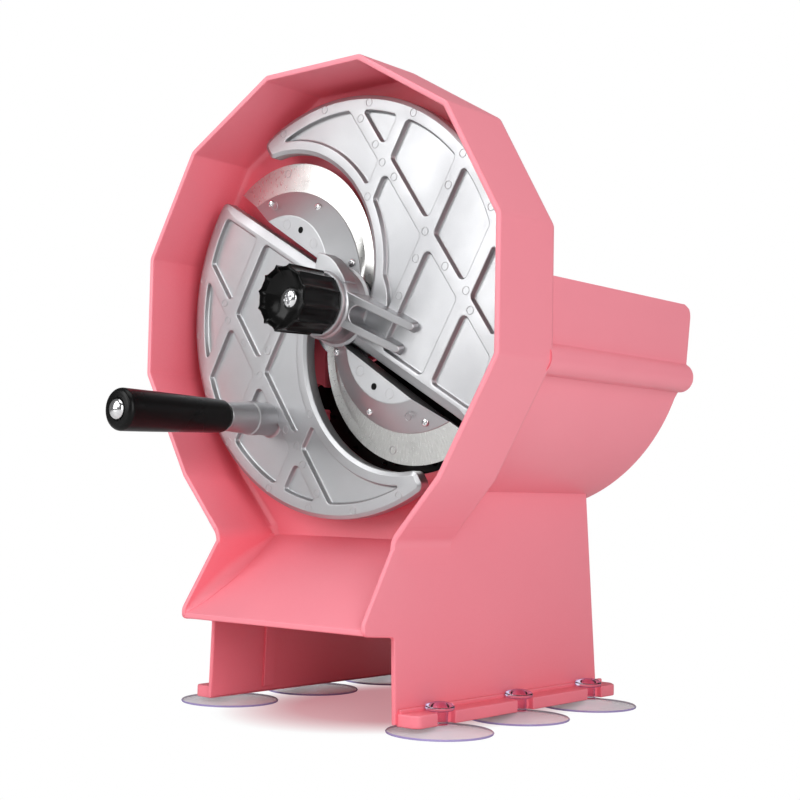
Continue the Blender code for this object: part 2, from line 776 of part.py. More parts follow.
def channel_outline(inset):
    """Inside of the trough drawn in by a clearance, closed along the pusher's top."""
    radius = FLOOR_RADIUS - TROUGH_WALL - inset
    left = TROUGH_LEFT + TROUGH_WALL + inset
    right = BEAD_CENTRE[0] - TROUGH_WALL / 2 - inset
    start = -acos((right - FLOOR_CENTRE[0]) / radius)
    end = -acos((left - FLOOR_CENTRE[0]) / radius)
    floor = arc(FLOOR_CENTRE, radius, start, end)
    hub = FEED_HUB_RADIUS + 2 * inset
    rise = asin(PUSHER_TOP / hub)
    notch = arc((0.0, 0.0), hub, -pi - rise, rise)
    return [(right, PUSHER_TOP), *floor, (left, PUSHER_TOP), *notch]


def make_spikes(face):
    """Thin pad with a field of small spikes on the pusher's face."""
    pad = add_piece("pusher_spikes", plate("pusher_spikes", [feed_outline(SLIDING_GAP)], face, SPIKE_PAD),
                    BLACK_PLASTIC, frame)
    columns = int(2 * FEED_RADIUS / SPIKE_PITCH) + 1
    spikes = bmesh.new()
    lay_down = Matrix.Rotation(pi / 2, 4, "X")
    for row in range(columns):
        for column in range(columns):
            across = FEED_CENTRE[0] - FEED_RADIUS + (column + row % 2 / 2) * SPIKE_PITCH
            up = FEED_TOP - SPIKE_MARGIN - SLIDING_GAP - row * SPIKE_PITCH
            if inside_feed(across, up, SPIKE_MARGIN):
                seat = Matrix.Translation((across, face - SPIKE_HEIGHT / 2 + SPIKE_TIP, up))
                bmesh.ops.create_cone(spikes, cap_ends=True, segments=4, radius1=SPIKE_RADIUS,
                                      radius2=SPIKE_TIP, depth=SPIKE_HEIGHT, matrix=seat @ lay_down)
    field = bpy.data.meshes.new("spike_field")
    spikes.to_mesh(field)
    spikes.free()
    combine(pad, add_cutter("spike_field", field, frame), "UNION")


def make_pusher():
    """Pusher block, the plate that runs in the trough and its push bar."""
    face = DRUM_DEPTH - DRUM_WALL - PUSHER_FACE_SETBACK
    make_spikes(face)
    face += SPIKE_PAD + SEAT_GAP
    plate_front = DRUM_DEPTH + PUSHER_PLATE_GAP
    plate_back = plate_front + PUSHER_PLATE
    block = plate("pusher", [feed_outline(SLIDING_GAP)], face, plate_back - SPIKE_RADIUS - face)
    pusher = add_piece("pusher", block, BLACK_PLASTIC, frame)

    runner = plate("pusher_runner", [channel_outline(SLIDING_GAP)], plate_front, PUSHER_PLATE)
    combine(pusher, add_cutter("pusher_runner", runner, frame), "UNION")
    left_ear = cylinder("pusher_left_ear", EAR_RADIUS - SLIDING_GAP, face, plate_front + PUSHER_PLATE / 2,
                        COARSE_STEPS, EAR_CENTRE)
    combine(pusher, add_cutter("pusher_left_ear", left_ear, frame), "UNION")
    right_ear = cylinder("pusher_right_ear", RIGHT_EAR_RADIUS, plate_front + SEAT_GAP, plate_back - SEAT_GAP,
                         COARSE_STEPS, BEAD_CENTRE)
    combine(pusher, add_cutter("pusher_right_ear", right_ear, frame), "UNION")

    bar_line = plate_back + PUSH_POST_LENGTH
    bar = turned("push_bar", [(0.0, PUSH_BAR_CENTRE[1] + PUSH_BAR_HALF),
                              (PUSH_BAR_RADIUS - GRIP_ROUND, PUSH_BAR_CENTRE[1] + PUSH_BAR_HALF),
                              (PUSH_BAR_RADIUS, PUSH_BAR_CENTRE[1] + PUSH_BAR_HALF - GRIP_ROUND),
                              (PUSH_BAR_RADIUS, PUSH_BAR_CENTRE[1] - PUSH_BAR_HALF + GRIP_ROUND),
                              (PUSH_BAR_RADIUS - GRIP_ROUND, PUSH_BAR_CENTRE[1] - PUSH_BAR_HALF),
                              (0.0, PUSH_BAR_CENTRE[1] - PUSH_BAR_HALF)],
                 COARSE_STEPS, (PUSH_BAR_CENTRE[0], bar_line), upright=True)
    combine(pusher, add_cutter("push_bar", bar, frame), "UNION")
    for sign in (-1, 1):
        place = (PUSH_BAR_CENTRE[0], PUSH_BAR_CENTRE[1] + sign * (PUSH_BAR_HALF - 2 * PUSH_POST_RADIUS))
        post = cylinder("push_post", PUSH_POST_RADIUS, plate_front + PUSHER_PLATE / 2, bar_line, COARSE_STEPS,
                        place)
        combine(pusher, add_cutter("push_post", post, frame), "UNION")


def wing_frame():
    """Direction along the wing's straight edge and its normal."""
    angle = radians(WING_EDGE_ANGLE)
    return (cos(angle), sin(angle)), (-sin(angle), cos(angle))


def edge_point(offset, radius):
    """Point at a radius on the line that runs along the wing's straight edge at an offset."""
    along, normal = wing_frame()
    run = sqrt(radius ** 2 - offset ** 2)
    return (run * along[0] + offset * normal[0], run * along[1] + offset * normal[1])


def wing_outline():
    """Outline of the upper wing and the corners that are rounded."""
    corner = edge_point(-WING_EDGE_OFFSET, WING_RADIUS)
    hub_end = edge_point(-WING_EDGE_OFFSET, COLLAR_RADIUS)
    tip_outer = polar(WING_RADIUS, radians(WING_TIP_ANGLE))
    rim = arc((0.0, 0.0), WING_RADIUS, radians(WING_TIP_ANGLE), angle_of(corner))
    inner_end = circles_meet((0.0, 0.0), hypot(*edge_point(WING_EDGE_OFFSET, COLLAR_RADIUS + COLLAR_ROUND)),
                             SWEEP_CENTRE, SWEEP_RADIUS, -1)
    centre_distance = hypot(*SWEEP_CENTRE)
    tip_direction = radians(WING_TIP_ANGLE)
    along = centre_distance * cos(tip_direction - angle_of(SWEEP_CENTRE))
    tip_inner = polar(along + sqrt(along ** 2 - centre_distance ** 2 + SWEEP_RADIUS ** 2), tip_direction)
    sweep_start, sweep_end = (angle_of(point, SWEEP_CENTRE) for point in (inner_end, tip_inner))
    sweep = arc(SWEEP_CENTRE, SWEEP_RADIUS, sweep_start, sweep_end)
    past_hub = polar(COLLAR_RADIUS / 2, radians(WING_EDGE_ANGLE - 90))
    return [*rim, hub_end, past_hub, *sweep], {"tip": [tip_outer, tip_inner], "corner": [corner]}


def pocket_outline():
    """Area of the upper wing inside its rims, before the ribs cross it."""
    outer = WING_RADIUS - RIM_WIDTH
    sweep = SWEEP_RADIUS + EDGE_RIM_WIDTH
    edge = -(WING_EDGE_OFFSET - EDGE_RIM_WIDTH)
    tip = circles_meet((0.0, 0.0), outer, SWEEP_CENTRE, sweep, -1)
    corner = edge_point(edge, outer)
    hub_low = edge_point(edge, POCKET_HUB_RADIUS)
    hub_high = circles_meet((0.0, 0.0), POCKET_HUB_RADIUS, SWEEP_CENTRE, sweep, -1)
    rim = arc((0.0, 0.0), outer, angle_of(tip), angle_of(corner))
    hub = arc((0.0, 0.0), POCKET_HUB_RADIUS, angle_of(hub_low), angle_of(hub_high))
    inner = arc(SWEEP_CENTRE, sweep, angle_of(hub_high, SWEEP_CENTRE), angle_of(tip, SWEEP_CENTRE))
    return [*rim, *hub, *inner[1:-1]]


def pocket_outlines():
    """Outlines of the pockets that the ribs leave in the upper wing."""
    half = RIB_WIDTH / 2
    across = radians(LONG_RIB_ANGLE)
    long_normal = pi / 2 + across
    cross_normal = radians(CROSS_RIB_ANGLE) + pi / 2
    edges = [-1.0, *(WING_RADIUS * share for share in CROSS_RIB_SHARES), 1.0]
    cells = []
    for side in (-1, 1):
        limit = WING_RADIUS * LONG_RIB_SHARE + side * half
        strip = clipped(pocket_outline(), pi / 2 - long_normal, limit, side)
        for low, high in zip(edges, edges[1:]):
            cell = clipped(strip, cross_normal, low + half, 1)
            cells.append(filleted(clipped(cell, cross_normal, high - half, -1), POCKET_ROUND))
    return cells


def pocket_tool():
    """Pockets of the upper wing as one cutter."""
    start = WING_FRONT - WING_FLOOR
    depth = WING_DEPTH
    return joined("pockets", [plate("pocket", [outline], start, depth) for outline in pocket_outlines()])


def make_wing_plate():
    """Cast front disc: two ribbed wings, the hub collar with its fork and the crank boss."""
    outline, corners = wing_outline()
    upper = plate("wing_plate", [outline], WING_FRONT, WING_DEPTH)
    round_corners(upper, corners["corner"], WING_CORNER_ROUND)
    round_corners(upper, corners["tip"], WING_TIP_ROUND)
    chamfer_rims(upper, RIM_ROUND)
    lower = upper.copy()
    half_turn = Matrix.Rotation(pi, 4, "Y")
    lower.transform(half_turn)
    wing = add_piece("wing_plate", upper, CAST_ALUMINIUM, disc_axis)
    combine(wing, add_cutter("lower_wing", lower, disc_axis), "UNION")

    rear = WING_FRONT + WING_DEPTH
    collar = turned("collar", [(0.0, COLLAR_FRONT), (COLLAR_RADIUS - COLLAR_ROUND, COLLAR_FRONT),
                               (COLLAR_RADIUS, COLLAR_FRONT + COLLAR_ROUND),
                               (COLLAR_RADIUS, WING_FRONT - COLLAR_ROUND),
                               (COLLAR_RADIUS, rear), (0.0, rear)], FINE_STEPS)
    combine(wing, add_cutter("collar", collar, disc_axis), "UNION")

    pockets = pocket_tool()
    mirrored = pockets.copy()
    mirrored.transform(half_turn)
    combine(wing, add_cutter("upper_pockets", pockets, disc_axis), "DIFFERENCE")
    combine(wing, add_cutter("lower_pockets", mirrored, disc_axis), "DIFFERENCE")

    floor = rear - WING_FLOOR
    overlap = WING_FLOOR / 3
    boss = turned("crank_boss", [(0.0, CRANK_BOSS_FRONT), (CRANK_BOSS_TOP_RADIUS, CRANK_BOSS_FRONT),
                                 (CRANK_BOSS_TOP_RADIUS, WING_FRONT - BOSS_STAND),
                                 (CRANK_BOSS_FOOT_RADIUS, floor), (CRANK_BOSS_FOOT_RADIUS, floor + overlap),
                                 (0.0, floor + overlap)], PLAIN_STEPS, CRANK_PLACE)
    combine(wing, add_cutter("crank_boss", boss, disc_axis), "UNION")
    for sign, shorter in ((1, 0.0), (-1, FORK_LOWER_SHORTER)):
        tine = fork_tine(sign, shorter, floor + overlap)
        combine(wing, add_cutter("fork_tine_%d" % (sign + 1), tine, disc_axis), "UNION")

    web_front = COLLAR_FRONT + COLLAR_WALL
    socket = plate("hex_socket", [hexagon(HEX_FLATS + 2 * DRIVE_GAP)], web_front,
                   rear - web_front + WING_FLOOR)
    socket_tool = add_cutter("hex_socket", socket, disc_axis)
    bore = cylinder("collar_bore", SPINDLE_RADIUS + RUNNING_GAP, 0.0, web_front + WING_FLOOR)
    combine(socket_tool, add_cutter("collar_bore", bore, disc_axis), "UNION")
    combine(wing, socket_tool, "DIFFERENCE")
    pin_hole = cylinder("crank_pin_hole", PIN_RADIUS + SEAT_GAP, 0.0, PIN_END + SEAT_GAP, COARSE_STEPS,
                        CRANK_PLACE)
    combine(wing, add_cutter("crank_pin_hole", pin_hole, disc_axis), "DIFFERENCE")


def fork_tine(sign, shorter, seat):
    """Tapering rib that runs out from the collar over the upper wing."""
    start = COLLAR_RADIUS - COLLAR_WALL
    end = FORK_LENGTH - shorter
    outline = [(start, FORK_ROOT_FRONT), (end - FORK_WIDTH, FORK_TIP_FRONT),
               (end, FORK_TIP_FRONT + FORK_ROUND),
               (end, seat), (start, seat)]
    tine = plate("fork_tine", [[(y, x) for x, y in outline]], -FORK_WIDTH / 2, FORK_WIDTH, "side")
    # The side view holds (Y, Z), so the tine is laid from Z onto X and then turned to its angle
    tine.transform(Matrix(((0, 0, 1, 0), (0, 1, 0, 0), (-1, 0, 0, 0), (0, 0, 0, 1))))
    tine.transform(Matrix.Translation((0.0, 0.0, sign * FORK_OFFSET)))
    tine.transform(Matrix.Rotation(-radians(FORK_ANGLE), 4, "Y"))
    return weld(tine)


def half_space(offset, start, depth):
    """Block that covers everything on the wing side of the carrier's straight edge."""
    reach = 2 * WING_RADIUS
    block = box("edge_cut", (-reach, start, -reach), (reach, start + depth, offset))
    block.transform(Matrix.Rotation(-radians(WING_EDGE_ANGLE), 4, "Y"))
    return block


def blade_screw_places():
    """Places of the upper blade's screws, set in from the blade's inner edge."""
    return [polar(BLADE_INNER_RADIUS + inset, radians(angle), SWEEP_CENTRE)
            for angle, inset in zip(BLADE_SCREW_ANGLES, BLADE_SCREW_INSETS)]


def make_carrier():
    """Cast carrier: two lobes with raised lenses on a drive disc with a hexagon sleeve."""
    rear = WING_FRONT + WING_DEPTH + SLICE_NOW
    disc_front = rear + SEAT_GAP
    disc_back = disc_front + DRIVE_DISC_THICK
    blade_front = rear - BLADE_THICK
    disc = cylinder("blade_carrier", DRIVE_DISC_RADIUS, disc_front, disc_back, FINE_STEPS)
    carrier = add_piece("blade_carrier", disc, CAST_ALUMINIUM, disc_axis)
    sleeve = plate("hex_sleeve", [hexagon(HEX_FLATS)], HEX_FRONT,
                   disc_front + DRIVE_DISC_THICK / 2 - HEX_FRONT)
    combine(carrier, add_cutter("hex_sleeve", sleeve, disc_axis), "UNION")

    plate_back = blade_front - SEAT_GAP
    lobe = turned("lobe", [(0.0, LENS_FRONT), (LENS_RADIUS - LENS_SLOPE, LENS_FRONT),
                           (LENS_RADIUS, BAND_FRONT),
                           (CARRIER_RADIUS, BAND_FRONT), (CARRIER_RADIUS, plate_back),
                           (BLADE_INNER_RADIUS - SEAT_GAP, plate_back), (BLADE_INNER_RADIUS - SEAT_GAP, rear),
                           (0.0, rear)], FINE_STEPS, SWEEP_CENTRE)
    lobe_tool = add_cutter("upper_lobe", lobe, disc_axis)
    cut = half_space(CARRIER_EDGE_OFFSET, 0.0, 2 * rear)
    combine(lobe_tool, add_cutter("lobe_edge_cut", cut, disc_axis), "DIFFERENCE")
    collar_space = cylinder("collar_space", COLLAR_RADIUS + COLLAR_CLEARANCE, 0.0, 2 * rear)
    combine(lobe_tool, add_cutter("collar_space", collar_space, disc_axis), "DIFFERENCE")
    middle = radians(ROOT_MIDDLE)
    spread = radians(ROOT_HALF_ANGLE)
    inner = COLLAR_RADIUS + COLLAR_CLEARANCE
    root = plate("lobe_root", [arc((0.0, 0.0), inner, middle - spread, middle + spread)
                               + arc((0.0, 0.0), DRIVE_DISC_RADIUS - COLLAR_CLEARANCE, middle + spread,
                                     middle - spread)],
                 BAND_FRONT + COLLAR_CLEARANCE, disc_back - SEAT_GAP - BAND_FRONT - COLLAR_CLEARANCE)
    hole_place = polar(LENS_RADIUS - LENS_HOLE_INSET, radians(LENS_HOLE_ANGLE), SWEEP_CENTRE)
    hole = cylinder("lens_hole", LENS_HOLE_RADIUS, 0.0, BAND_FRONT, COARSE_STEPS // 2, hole_place)
    combine(lobe_tool, add_cutter("lens_hole", hole, disc_axis), "DIFFERENCE")
    upper_lobe = mesh_from(lobe_tool)
    half_turn = Matrix.Rotation(pi, 4, "Y")
    for label, turn in (("upper", Matrix.Identity(4)), ("lower", half_turn)):
        for kind, shape in (("lobe", upper_lobe), ("root", root)):
            mesh = shape.copy()
            mesh.transform(turn)
            combine(carrier, add_cutter("%s_%s" % (label, kind), mesh, disc_axis), "UNION")
    holes = [cylinder("screw_hole", BLADE_SCREW_SHANK + SEAT_GAP, LENS_FRONT, rear + SEAT_GAP / 2,
                      COARSE_STEPS // 2, turned_point(place, turn))
             for place in blade_screw_places() for turn in (0.0, pi)]
    combine(carrier, add_cutter("screw_holes", joined("screw_holes", holes), disc_axis), "DIFFERENCE")
    bore = cylinder("carrier_bore", SPINDLE_RADIUS + SEAT_GAP, 0.0, 2 * rear)
    combine(carrier, add_cutter("carrier_bore", bore, disc_axis), "DIFFERENCE")


def make_blades():
    """Two sickle blades with a ground bevel along their outer arc, and their screws."""
    rear = WING_FRONT + WING_DEPTH + SLICE_NOW
    front = rear - BLADE_THICK
    ring = turned("blade_ring", [(BLADE_INNER_RADIUS, front), (BLADE_RADIUS - BLADE_BEVEL, front),
                                 (BLADE_RADIUS, rear - BLADE_LAND), (BLADE_RADIUS, rear),
                                 (BLADE_INNER_RADIUS, rear), (BLADE_INNER_RADIUS, front)],
                  2 * FINE_STEPS, SWEEP_CENTRE)
    blank = add_cutter("blade_blank", ring, disc_axis)
    cut = half_space(CARRIER_EDGE_OFFSET, 0.0, 2 * rear)
    combine(blank, add_cutter("blade_edge_cut", cut, disc_axis), "DIFFERENCE")
    keep = cylinder("blade_hub_cut", DRIVE_DISC_RADIUS - COLLAR_CLEARANCE + SEAT_GAP, 0.0, 2 * rear)
    combine(blank, add_cutter("blade_hub_cut", keep, disc_axis), "DIFFERENCE")
    holes = [cylinder("blade_hole", BLADE_SCREW_SHANK + SEAT_GAP, 0.0, 2 * rear, COARSE_STEPS // 2, place)
             for place in blade_screw_places()[:2]]
    combine(blank, add_cutter("blade_holes", joined("blade_holes", holes), disc_axis), "DIFFERENCE")
    upper = mesh_from(blank)
    lower = upper.copy()
    lower.transform(Matrix.Rotation(pi, 4, "Y"))
    add_piece("upper_blade", upper, BLADE_STEEL, disc_axis)
    add_piece("lower_blade", lower, BLADE_STEEL, disc_axis)

    head_seat = BAND_FRONT - SEAT_GAP
    for side, turn in (("upper", 0.0), ("lower", pi)):
        for number, place in enumerate(blade_screw_places()):
            screw = turned("screw", [(0.0, head_seat - BLADE_SCREW_RISE),
                                     (BLADE_SCREW_CROWN, head_seat - BLADE_SCREW_RISE + BLADE_LAND),
                                     (BLADE_SCREW_HEAD, head_seat - BLADE_LAND),
                                     (BLADE_SCREW_HEAD, head_seat), (BLADE_SCREW_SHANK, head_seat),
                                     (BLADE_SCREW_SHANK, rear - SEAT_GAP), (0.0, rear - SEAT_GAP)],
                           COARSE_STEPS // 2, turned_point(place, turn))
            add_piece("%s_blade_screw_%d" % (side, number + 1), screw, BRIGHT_STEEL, disc_axis)


def spring_path(start, end):
    """Points along the spring's wire."""
    count = SPRING_TURNS * SPRING_POINTS
    wire = SPRING_WIRE / 2
    first, last = start + wire + SEAT_GAP, end - wire - SEAT_GAP
    points = []
    for i in range(count + 1):
        angle = 2 * pi * i / SPRING_POINTS
        points.append(Vector((SPRING_RADIUS * cos(angle), first + (last - first) * i / count,
                              SPRING_RADIUS * sin(angle))))
    return points


def make_spring():
    """Coil spring inside the collar that holds the wing plate against the knob."""
    points = spring_path(COLLAR_FRONT + COLLAR_WALL, HEX_FRONT)
    curve = bpy.data.curves.new("thickness_spring", "CURVE")
    curve.dimensions = "3D"
    curve.bevel_depth = SPRING_WIRE / 2
    curve.bevel_resolution = 1
    curve.use_fill_caps = True
    spline = curve.splines.new("POLY")
    spline.points.add(len(points) - 1)
    for target, point in zip(spline.points, points):
        target.co = (*point, 1.0)
    wire = bpy.data.objects.new("spring_wire", curve)
    bpy.context.scene.collection.objects.link(wire)
    add_piece("thickness_spring", weld(mesh_from(wire)), BRIGHT_STEEL, disc_axis)
    least = min((a - b).length for i, a in enumerate(points) for b in points[i + SPRING_POINTS // 2:])
    print("least gap of the spring to itself: %.2f mm" % (1000 * (least - SPRING_WIRE)))


def make_spindle():
    """Steel spindle with its drive flange, bronze bush, washer and nut."""
    rear = WING_FRONT + WING_DEPTH + SLICE_NOW + SEAT_GAP + DRIVE_DISC_THICK
    wall_front = DRUM_DEPTH - DRUM_WALL
    boss_front = wall_front - BOSS_STAND
    boss_back = wall_front + BOSS_LENGTH
    bush_inner = SPINDLE_RADIUS + RUNNING_GAP
    bush_back = boss_back + BUSH_WALL / 2
    washer_back = bush_back + RUNNING_GAP + WASHER_THICK
    nut_back = washer_back + SEAT_GAP + NUT_THICK
    end = nut_back + SPINDLE_RADIUS / 2
    flange_front = rear + SEAT_GAP
    flange_back = boss_front - RUNNING_GAP
    spindle = turned("spindle", [(0.0, SPINDLE_FRONT), (SPINDLE_RADIUS, SPINDLE_FRONT),
                                 (SPINDLE_RADIUS, flange_front),
                                 (SPINDLE_FLANGE_RADIUS, flange_front), (SPINDLE_FLANGE_RADIUS, flange_back),
                                 (SPINDLE_RADIUS, flange_back), (SPINDLE_RADIUS, end), (0.0, end)])
    add_piece("spindle", spindle, BRIGHT_STEEL, disc_axis)
    bush = turned("spindle_bush", tube_profile(bush_inner, bush_inner + BUSH_WALL, boss_front, bush_back))
    add_piece("spindle_bush", bush, BRONZE, frame)
    washer = turned("rear_washer", tube_profile(SPINDLE_RADIUS + SEAT_GAP, WASHER_RADIUS,
                                                bush_back + RUNNING_GAP, washer_back))
    add_piece("rear_washer", washer, BRIGHT_STEEL, disc_axis)
    nut = plate("rear_nut", [hexagon(NUT_FLATS)], washer_back + SEAT_GAP, NUT_THICK)
    nut_piece = add_piece("rear_nut", nut, BRIGHT_STEEL, disc_axis)
    thread = cylinder("nut_thread", SPINDLE_RADIUS + SEAT_GAP, washer_back - NUT_THICK, nut_back + NUT_THICK)
    combine(nut_piece, add_cutter("nut_thread", thread, disc_axis), "DIFFERENCE")


def make_knob():
    """Twelve lobed knob with a dished front, and its chrome screw."""
    back = COLLAR_FRONT - SEAT_GAP
    dish = KNOB_FRONT + KNOB_DISH
    seat = dish + KNOB_SEAT_DEPTH
    screw_hole = KNOB_SCREW_SHANK + SEAT_GAP
    bore = SPINDLE_RADIUS + RUNNING_GAP
    profile = [(screw_hole, seat), (KNOB_SCREW_HEAD + SEAT_GAP, seat), (KNOB_SCREW_HEAD + SEAT_GAP, dish),
               (KNOB_DISH_RADIUS, dish), (KNOB_DISH_RADIUS + KNOB_ROUND, KNOB_FRONT),
               (KNOB_RADIUS - KNOB_ROUND, KNOB_FRONT), (KNOB_RADIUS, KNOB_FRONT + KNOB_ROUND),
               (KNOB_RADIUS, KNOB_SHOULDER), (KNOB_NECK_RADIUS, KNOB_SHOULDER + KNOB_ROUND),
               (KNOB_NECK_RADIUS, back),
               (bore, back), (bore, KNOB_BORE_END), (screw_hole, KNOB_BORE_END), (screw_hole, seat)]
    body = turned("thickness_knob", profile, FINE_STEPS)
    knob = add_piece("thickness_knob", body, BLACK_PLASTIC, disc_axis)
    flute_line = KNOB_RADIUS + KNOB_SCALLOP_OUT
    flute_end = KNOB_SHOULDER + 2 * KNOB_ROUND
    flutes = [cylinder("flute", KNOB_SCALLOP, KNOB_FRONT - KNOB_RADIUS, flute_end, COARSE_STEPS,
                       polar(flute_line, 2 * pi * n / KNOB_LOBES)) for n in range(KNOB_LOBES)]
    combine(knob, add_cutter("knob_flutes", joined("knob_flutes", flutes), disc_axis), "DIFFERENCE")

    head_seat = seat - SEAT_GAP
    top = head_seat - KNOB_SCREW_DOME
    dome = [(KNOB_SCREW_HEAD * sin(radians(a)), head_seat - KNOB_SCREW_DOME * cos(radians(a)))
            for a in range(0, 91, 18)]
    profile = [*dome, (KNOB_SCREW_SHANK, head_seat), (KNOB_SCREW_SHANK, KNOB_BORE_END - SEAT_GAP),
               (0.0, KNOB_BORE_END - SEAT_GAP)]
    screw = add_piece("knob_screw", turned("knob_screw", profile, COARSE_STEPS), BRIGHT_STEEL, disc_axis)
    long, wide = KNOB_SCREW_HEAD * CROSS_LENGTH, KNOB_SCREW_HEAD * CROSS_WIDTH
    low, high = top - KNOB_SCREW_DOME, top + KNOB_SCREW_DOME * CROSS_DEPTH
    for label, shape in (("level", box("slot", (-long, low, -wide), (long, high, wide))),
                         ("upright", box("slot", (-wide, low, -long), (wide, high, long)))):
        combine(screw, add_cutter("cross_" + label, shape, disc_axis), "DIFFERENCE")


def make_crank():
    """Crank: sleeve and pin on the wing, turning grip and its end screw."""
    boss_front = CRANK_BOSS_FRONT - SEAT_GAP
    ring_front = boss_front - SLEEVE_RING
    bore = PIN_RADIUS + SEAT_GAP
    sleeve = turned("crank_sleeve", [(bore, SLEEVE_FRONT), (SLEEVE_RADIUS, SLEEVE_FRONT),
                                     (SLEEVE_RADIUS, ring_front), (SLEEVE_RING_RADIUS, ring_front),
                                     (SLEEVE_RING_RADIUS, boss_front),
                                     (bore, boss_front), (bore, SLEEVE_FRONT)])
    add_piece("crank_sleeve", sleeve, CAST_ALUMINIUM, crank_axis)

    grip_back = SLEEVE_FRONT - RUNNING_GAP
    grip_front = grip_back - GRIP_LENGTH
    pin_front = grip_front + GRIP_ROUND
    pin = cylinder("crank_pin", PIN_RADIUS, pin_front, PIN_END, COARSE_STEPS)
    add_piece("crank_pin", pin, BRIGHT_STEEL, crank_axis)

    seat = grip_front + GRIP_ROUND
    hollow = GRIP_SCREW_RADIUS + RUNNING_GAP
    bore = PIN_RADIUS + RUNNING_GAP
    turns = [radians(a) for a in range(0, 91, 30)]
    ends = [(GRIP_ROUND * (1 - sin(a)), GRIP_ROUND * (1 - cos(a))) for a in turns]
    front_round = [(GRIP_END_RADIUS - inset, grip_front + run) for inset, run in ends]
    back_round = [(GRIP_NECK_RADIUS - inset, grip_back - run) for run, inset in ends]
    swell = [(GRIP_END_RADIUS, grip_front + GRIP_LENGTH * GRIP_SWELL_START),
             (GRIP_WAIST_RADIUS, grip_front + GRIP_LENGTH * GRIP_SWELL_END)]
    profile = [(bore, seat), (hollow, seat), (hollow, grip_front), *front_round, *swell, *back_round,
               (bore, grip_back), (bore, seat)]
    add_piece("grip", turned("grip", profile), BLACK_PLASTIC, crank_axis)

    head_back = pin_front - SEAT_GAP
    rise = GRIP_SCREW_RISE + GRIP_ROUND - SEAT_GAP
    crown = rise - GRIP_ROUND
    dome = [(GRIP_SCREW_RADIUS * sin(radians(a)), head_back - GRIP_ROUND - crown * cos(radians(a)))
            for a in range(0, 91, 18)]
    head = turned("grip_screw", [*dome, (GRIP_SCREW_RADIUS, head_back), (0.0, head_back)], COARSE_STEPS)
    add_piece("grip_screw", head, BRIGHT_STEEL, crank_axis)


def make_cups():
    """Six suction cups, squashed flat on the bench, with their heads above the flanges."""
    floor = -AXIS_HEIGHT
    under = LEG_BOTTOM - SEAT_GAP
    over = LEG_BOTTOM + FLANGE_HEIGHT + SEAT_GAP
    top = over + CUP_HEAD_HEIGHT
    edge = over + CUP_HEAD_HEIGHT / 3
    cap = [(CUP_HEAD_RADIUS * sin(radians(a)), edge + (top - edge) * cos(radians(a)))
           for a in range(0, 91, 30)]
    cap[0] = (0.0, top)
    bowl = CUP_RADIUS - CUP_RIM_WIDTH
    profile = [*cap, (CUP_HEAD_RADIUS - CUP_HEAD_CHAMFER, over), (CUP_STEM_RADIUS, over),
               (CUP_STEM_RADIUS, under), (2 * CUP_STEM_RADIUS, under),
               (CUP_SKIRT_RADIUS, floor + 3 * CUP_EDGE),
               (CUP_RADIUS, floor + CUP_EDGE), (CUP_RADIUS, floor), (bowl, floor),
               (CUP_HOLLOW_RADIUS, floor + CUP_EDGE),
               (CUP_STEM_RADIUS, floor + CUP_HOLLOW), (0.0, floor + CUP_HOLLOW)]
    for side, label in ((1, "right"), (-1, "left")):
        for number in range(CUP_COUNT):
            place = (side * CUP_LINE, CUP_FIRST + number * CUP_PITCH)
            cup = turned("suction_cup", profile, COARSE_STEPS, place, upright=True)
            add_piece("suction_cup_%s_%d" % (label, number + 1), cup, CLEAR_VINYL, frame)


for leftover in list(bpy.data.objects):
    bpy.data.objects.remove(leftover)
slicer = make_collection("vegetable_slicer")
cutters = make_collection("cutters")

# The frame's origin is below the middle of the slicer, on the bench
side_reach = DRUM_RADIUS * cos(pi / DRUM_SIDES)
front_reach = -(SLEEVE_FRONT - RUNNING_GAP - GRIP_LENGTH - GRIP_SCREW_RISE)
back_reach = CUP_FIRST + (CUP_COUNT - 1) * CUP_PITCH + CUP_RADIUS
middle_x = (BEAD_CENTRE[0] + BEAD_RADIUS - side_reach) / 2
middle_y = (back_reach - front_reach) / 2
frame = make_empty("slicer_frame", (-middle_x, -middle_y, AXIS_HEIGHT))
disc_axis = make_empty("disc_axis", (0.0, 0.0, 0.0), frame)
crank_axis = make_empty("crank_axis", (CRANK_PLACE[0], 0.0, CRANK_PLACE[1]), disc_axis)

make_drum()
make_tray()
make_leg("right_leg", 1)
make_leg("left_leg", -1)
make_trough()
make_pusher()
make_wing_plate()
make_carrier()
make_blades()
make_spring()
make_spindle()
make_knob()
make_crank()
make_cups()
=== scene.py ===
"""Studio scene of a hand cranked vegetable slicer, laid out as a Blender add-on and run as a script.

Shapes are drawn round the disc axis, in metres: X to the right, Y from the front to the back and
Z up, with the drum's front rim at Y = 0. Every piece is then moved to the slicer's place.
"""

import json
from math import acos, asin, atan2, cos, hypot, pi, radians, sin, sqrt, tan

import bmesh
import bpy
from mathutils import Matrix, Vector
from mathutils.geometry import tessellate_polygon


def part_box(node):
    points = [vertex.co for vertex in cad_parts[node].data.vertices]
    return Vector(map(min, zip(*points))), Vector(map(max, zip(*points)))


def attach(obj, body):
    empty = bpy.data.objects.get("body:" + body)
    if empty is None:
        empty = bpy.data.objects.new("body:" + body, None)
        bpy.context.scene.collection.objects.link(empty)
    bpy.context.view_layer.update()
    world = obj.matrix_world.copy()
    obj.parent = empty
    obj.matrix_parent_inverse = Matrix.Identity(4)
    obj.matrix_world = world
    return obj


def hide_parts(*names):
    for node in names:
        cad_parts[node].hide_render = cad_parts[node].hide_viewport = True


bl_info = {
    "name": "Vegetable slicer studio",
    "version": (1, 0, 0),
    "blender": (4, 5, 0),
    "location": "3D View > Sidebar > Slicer",
    "description": "Builds a hand cranked vegetable slicer and its studio",
    "category": "Object",
}

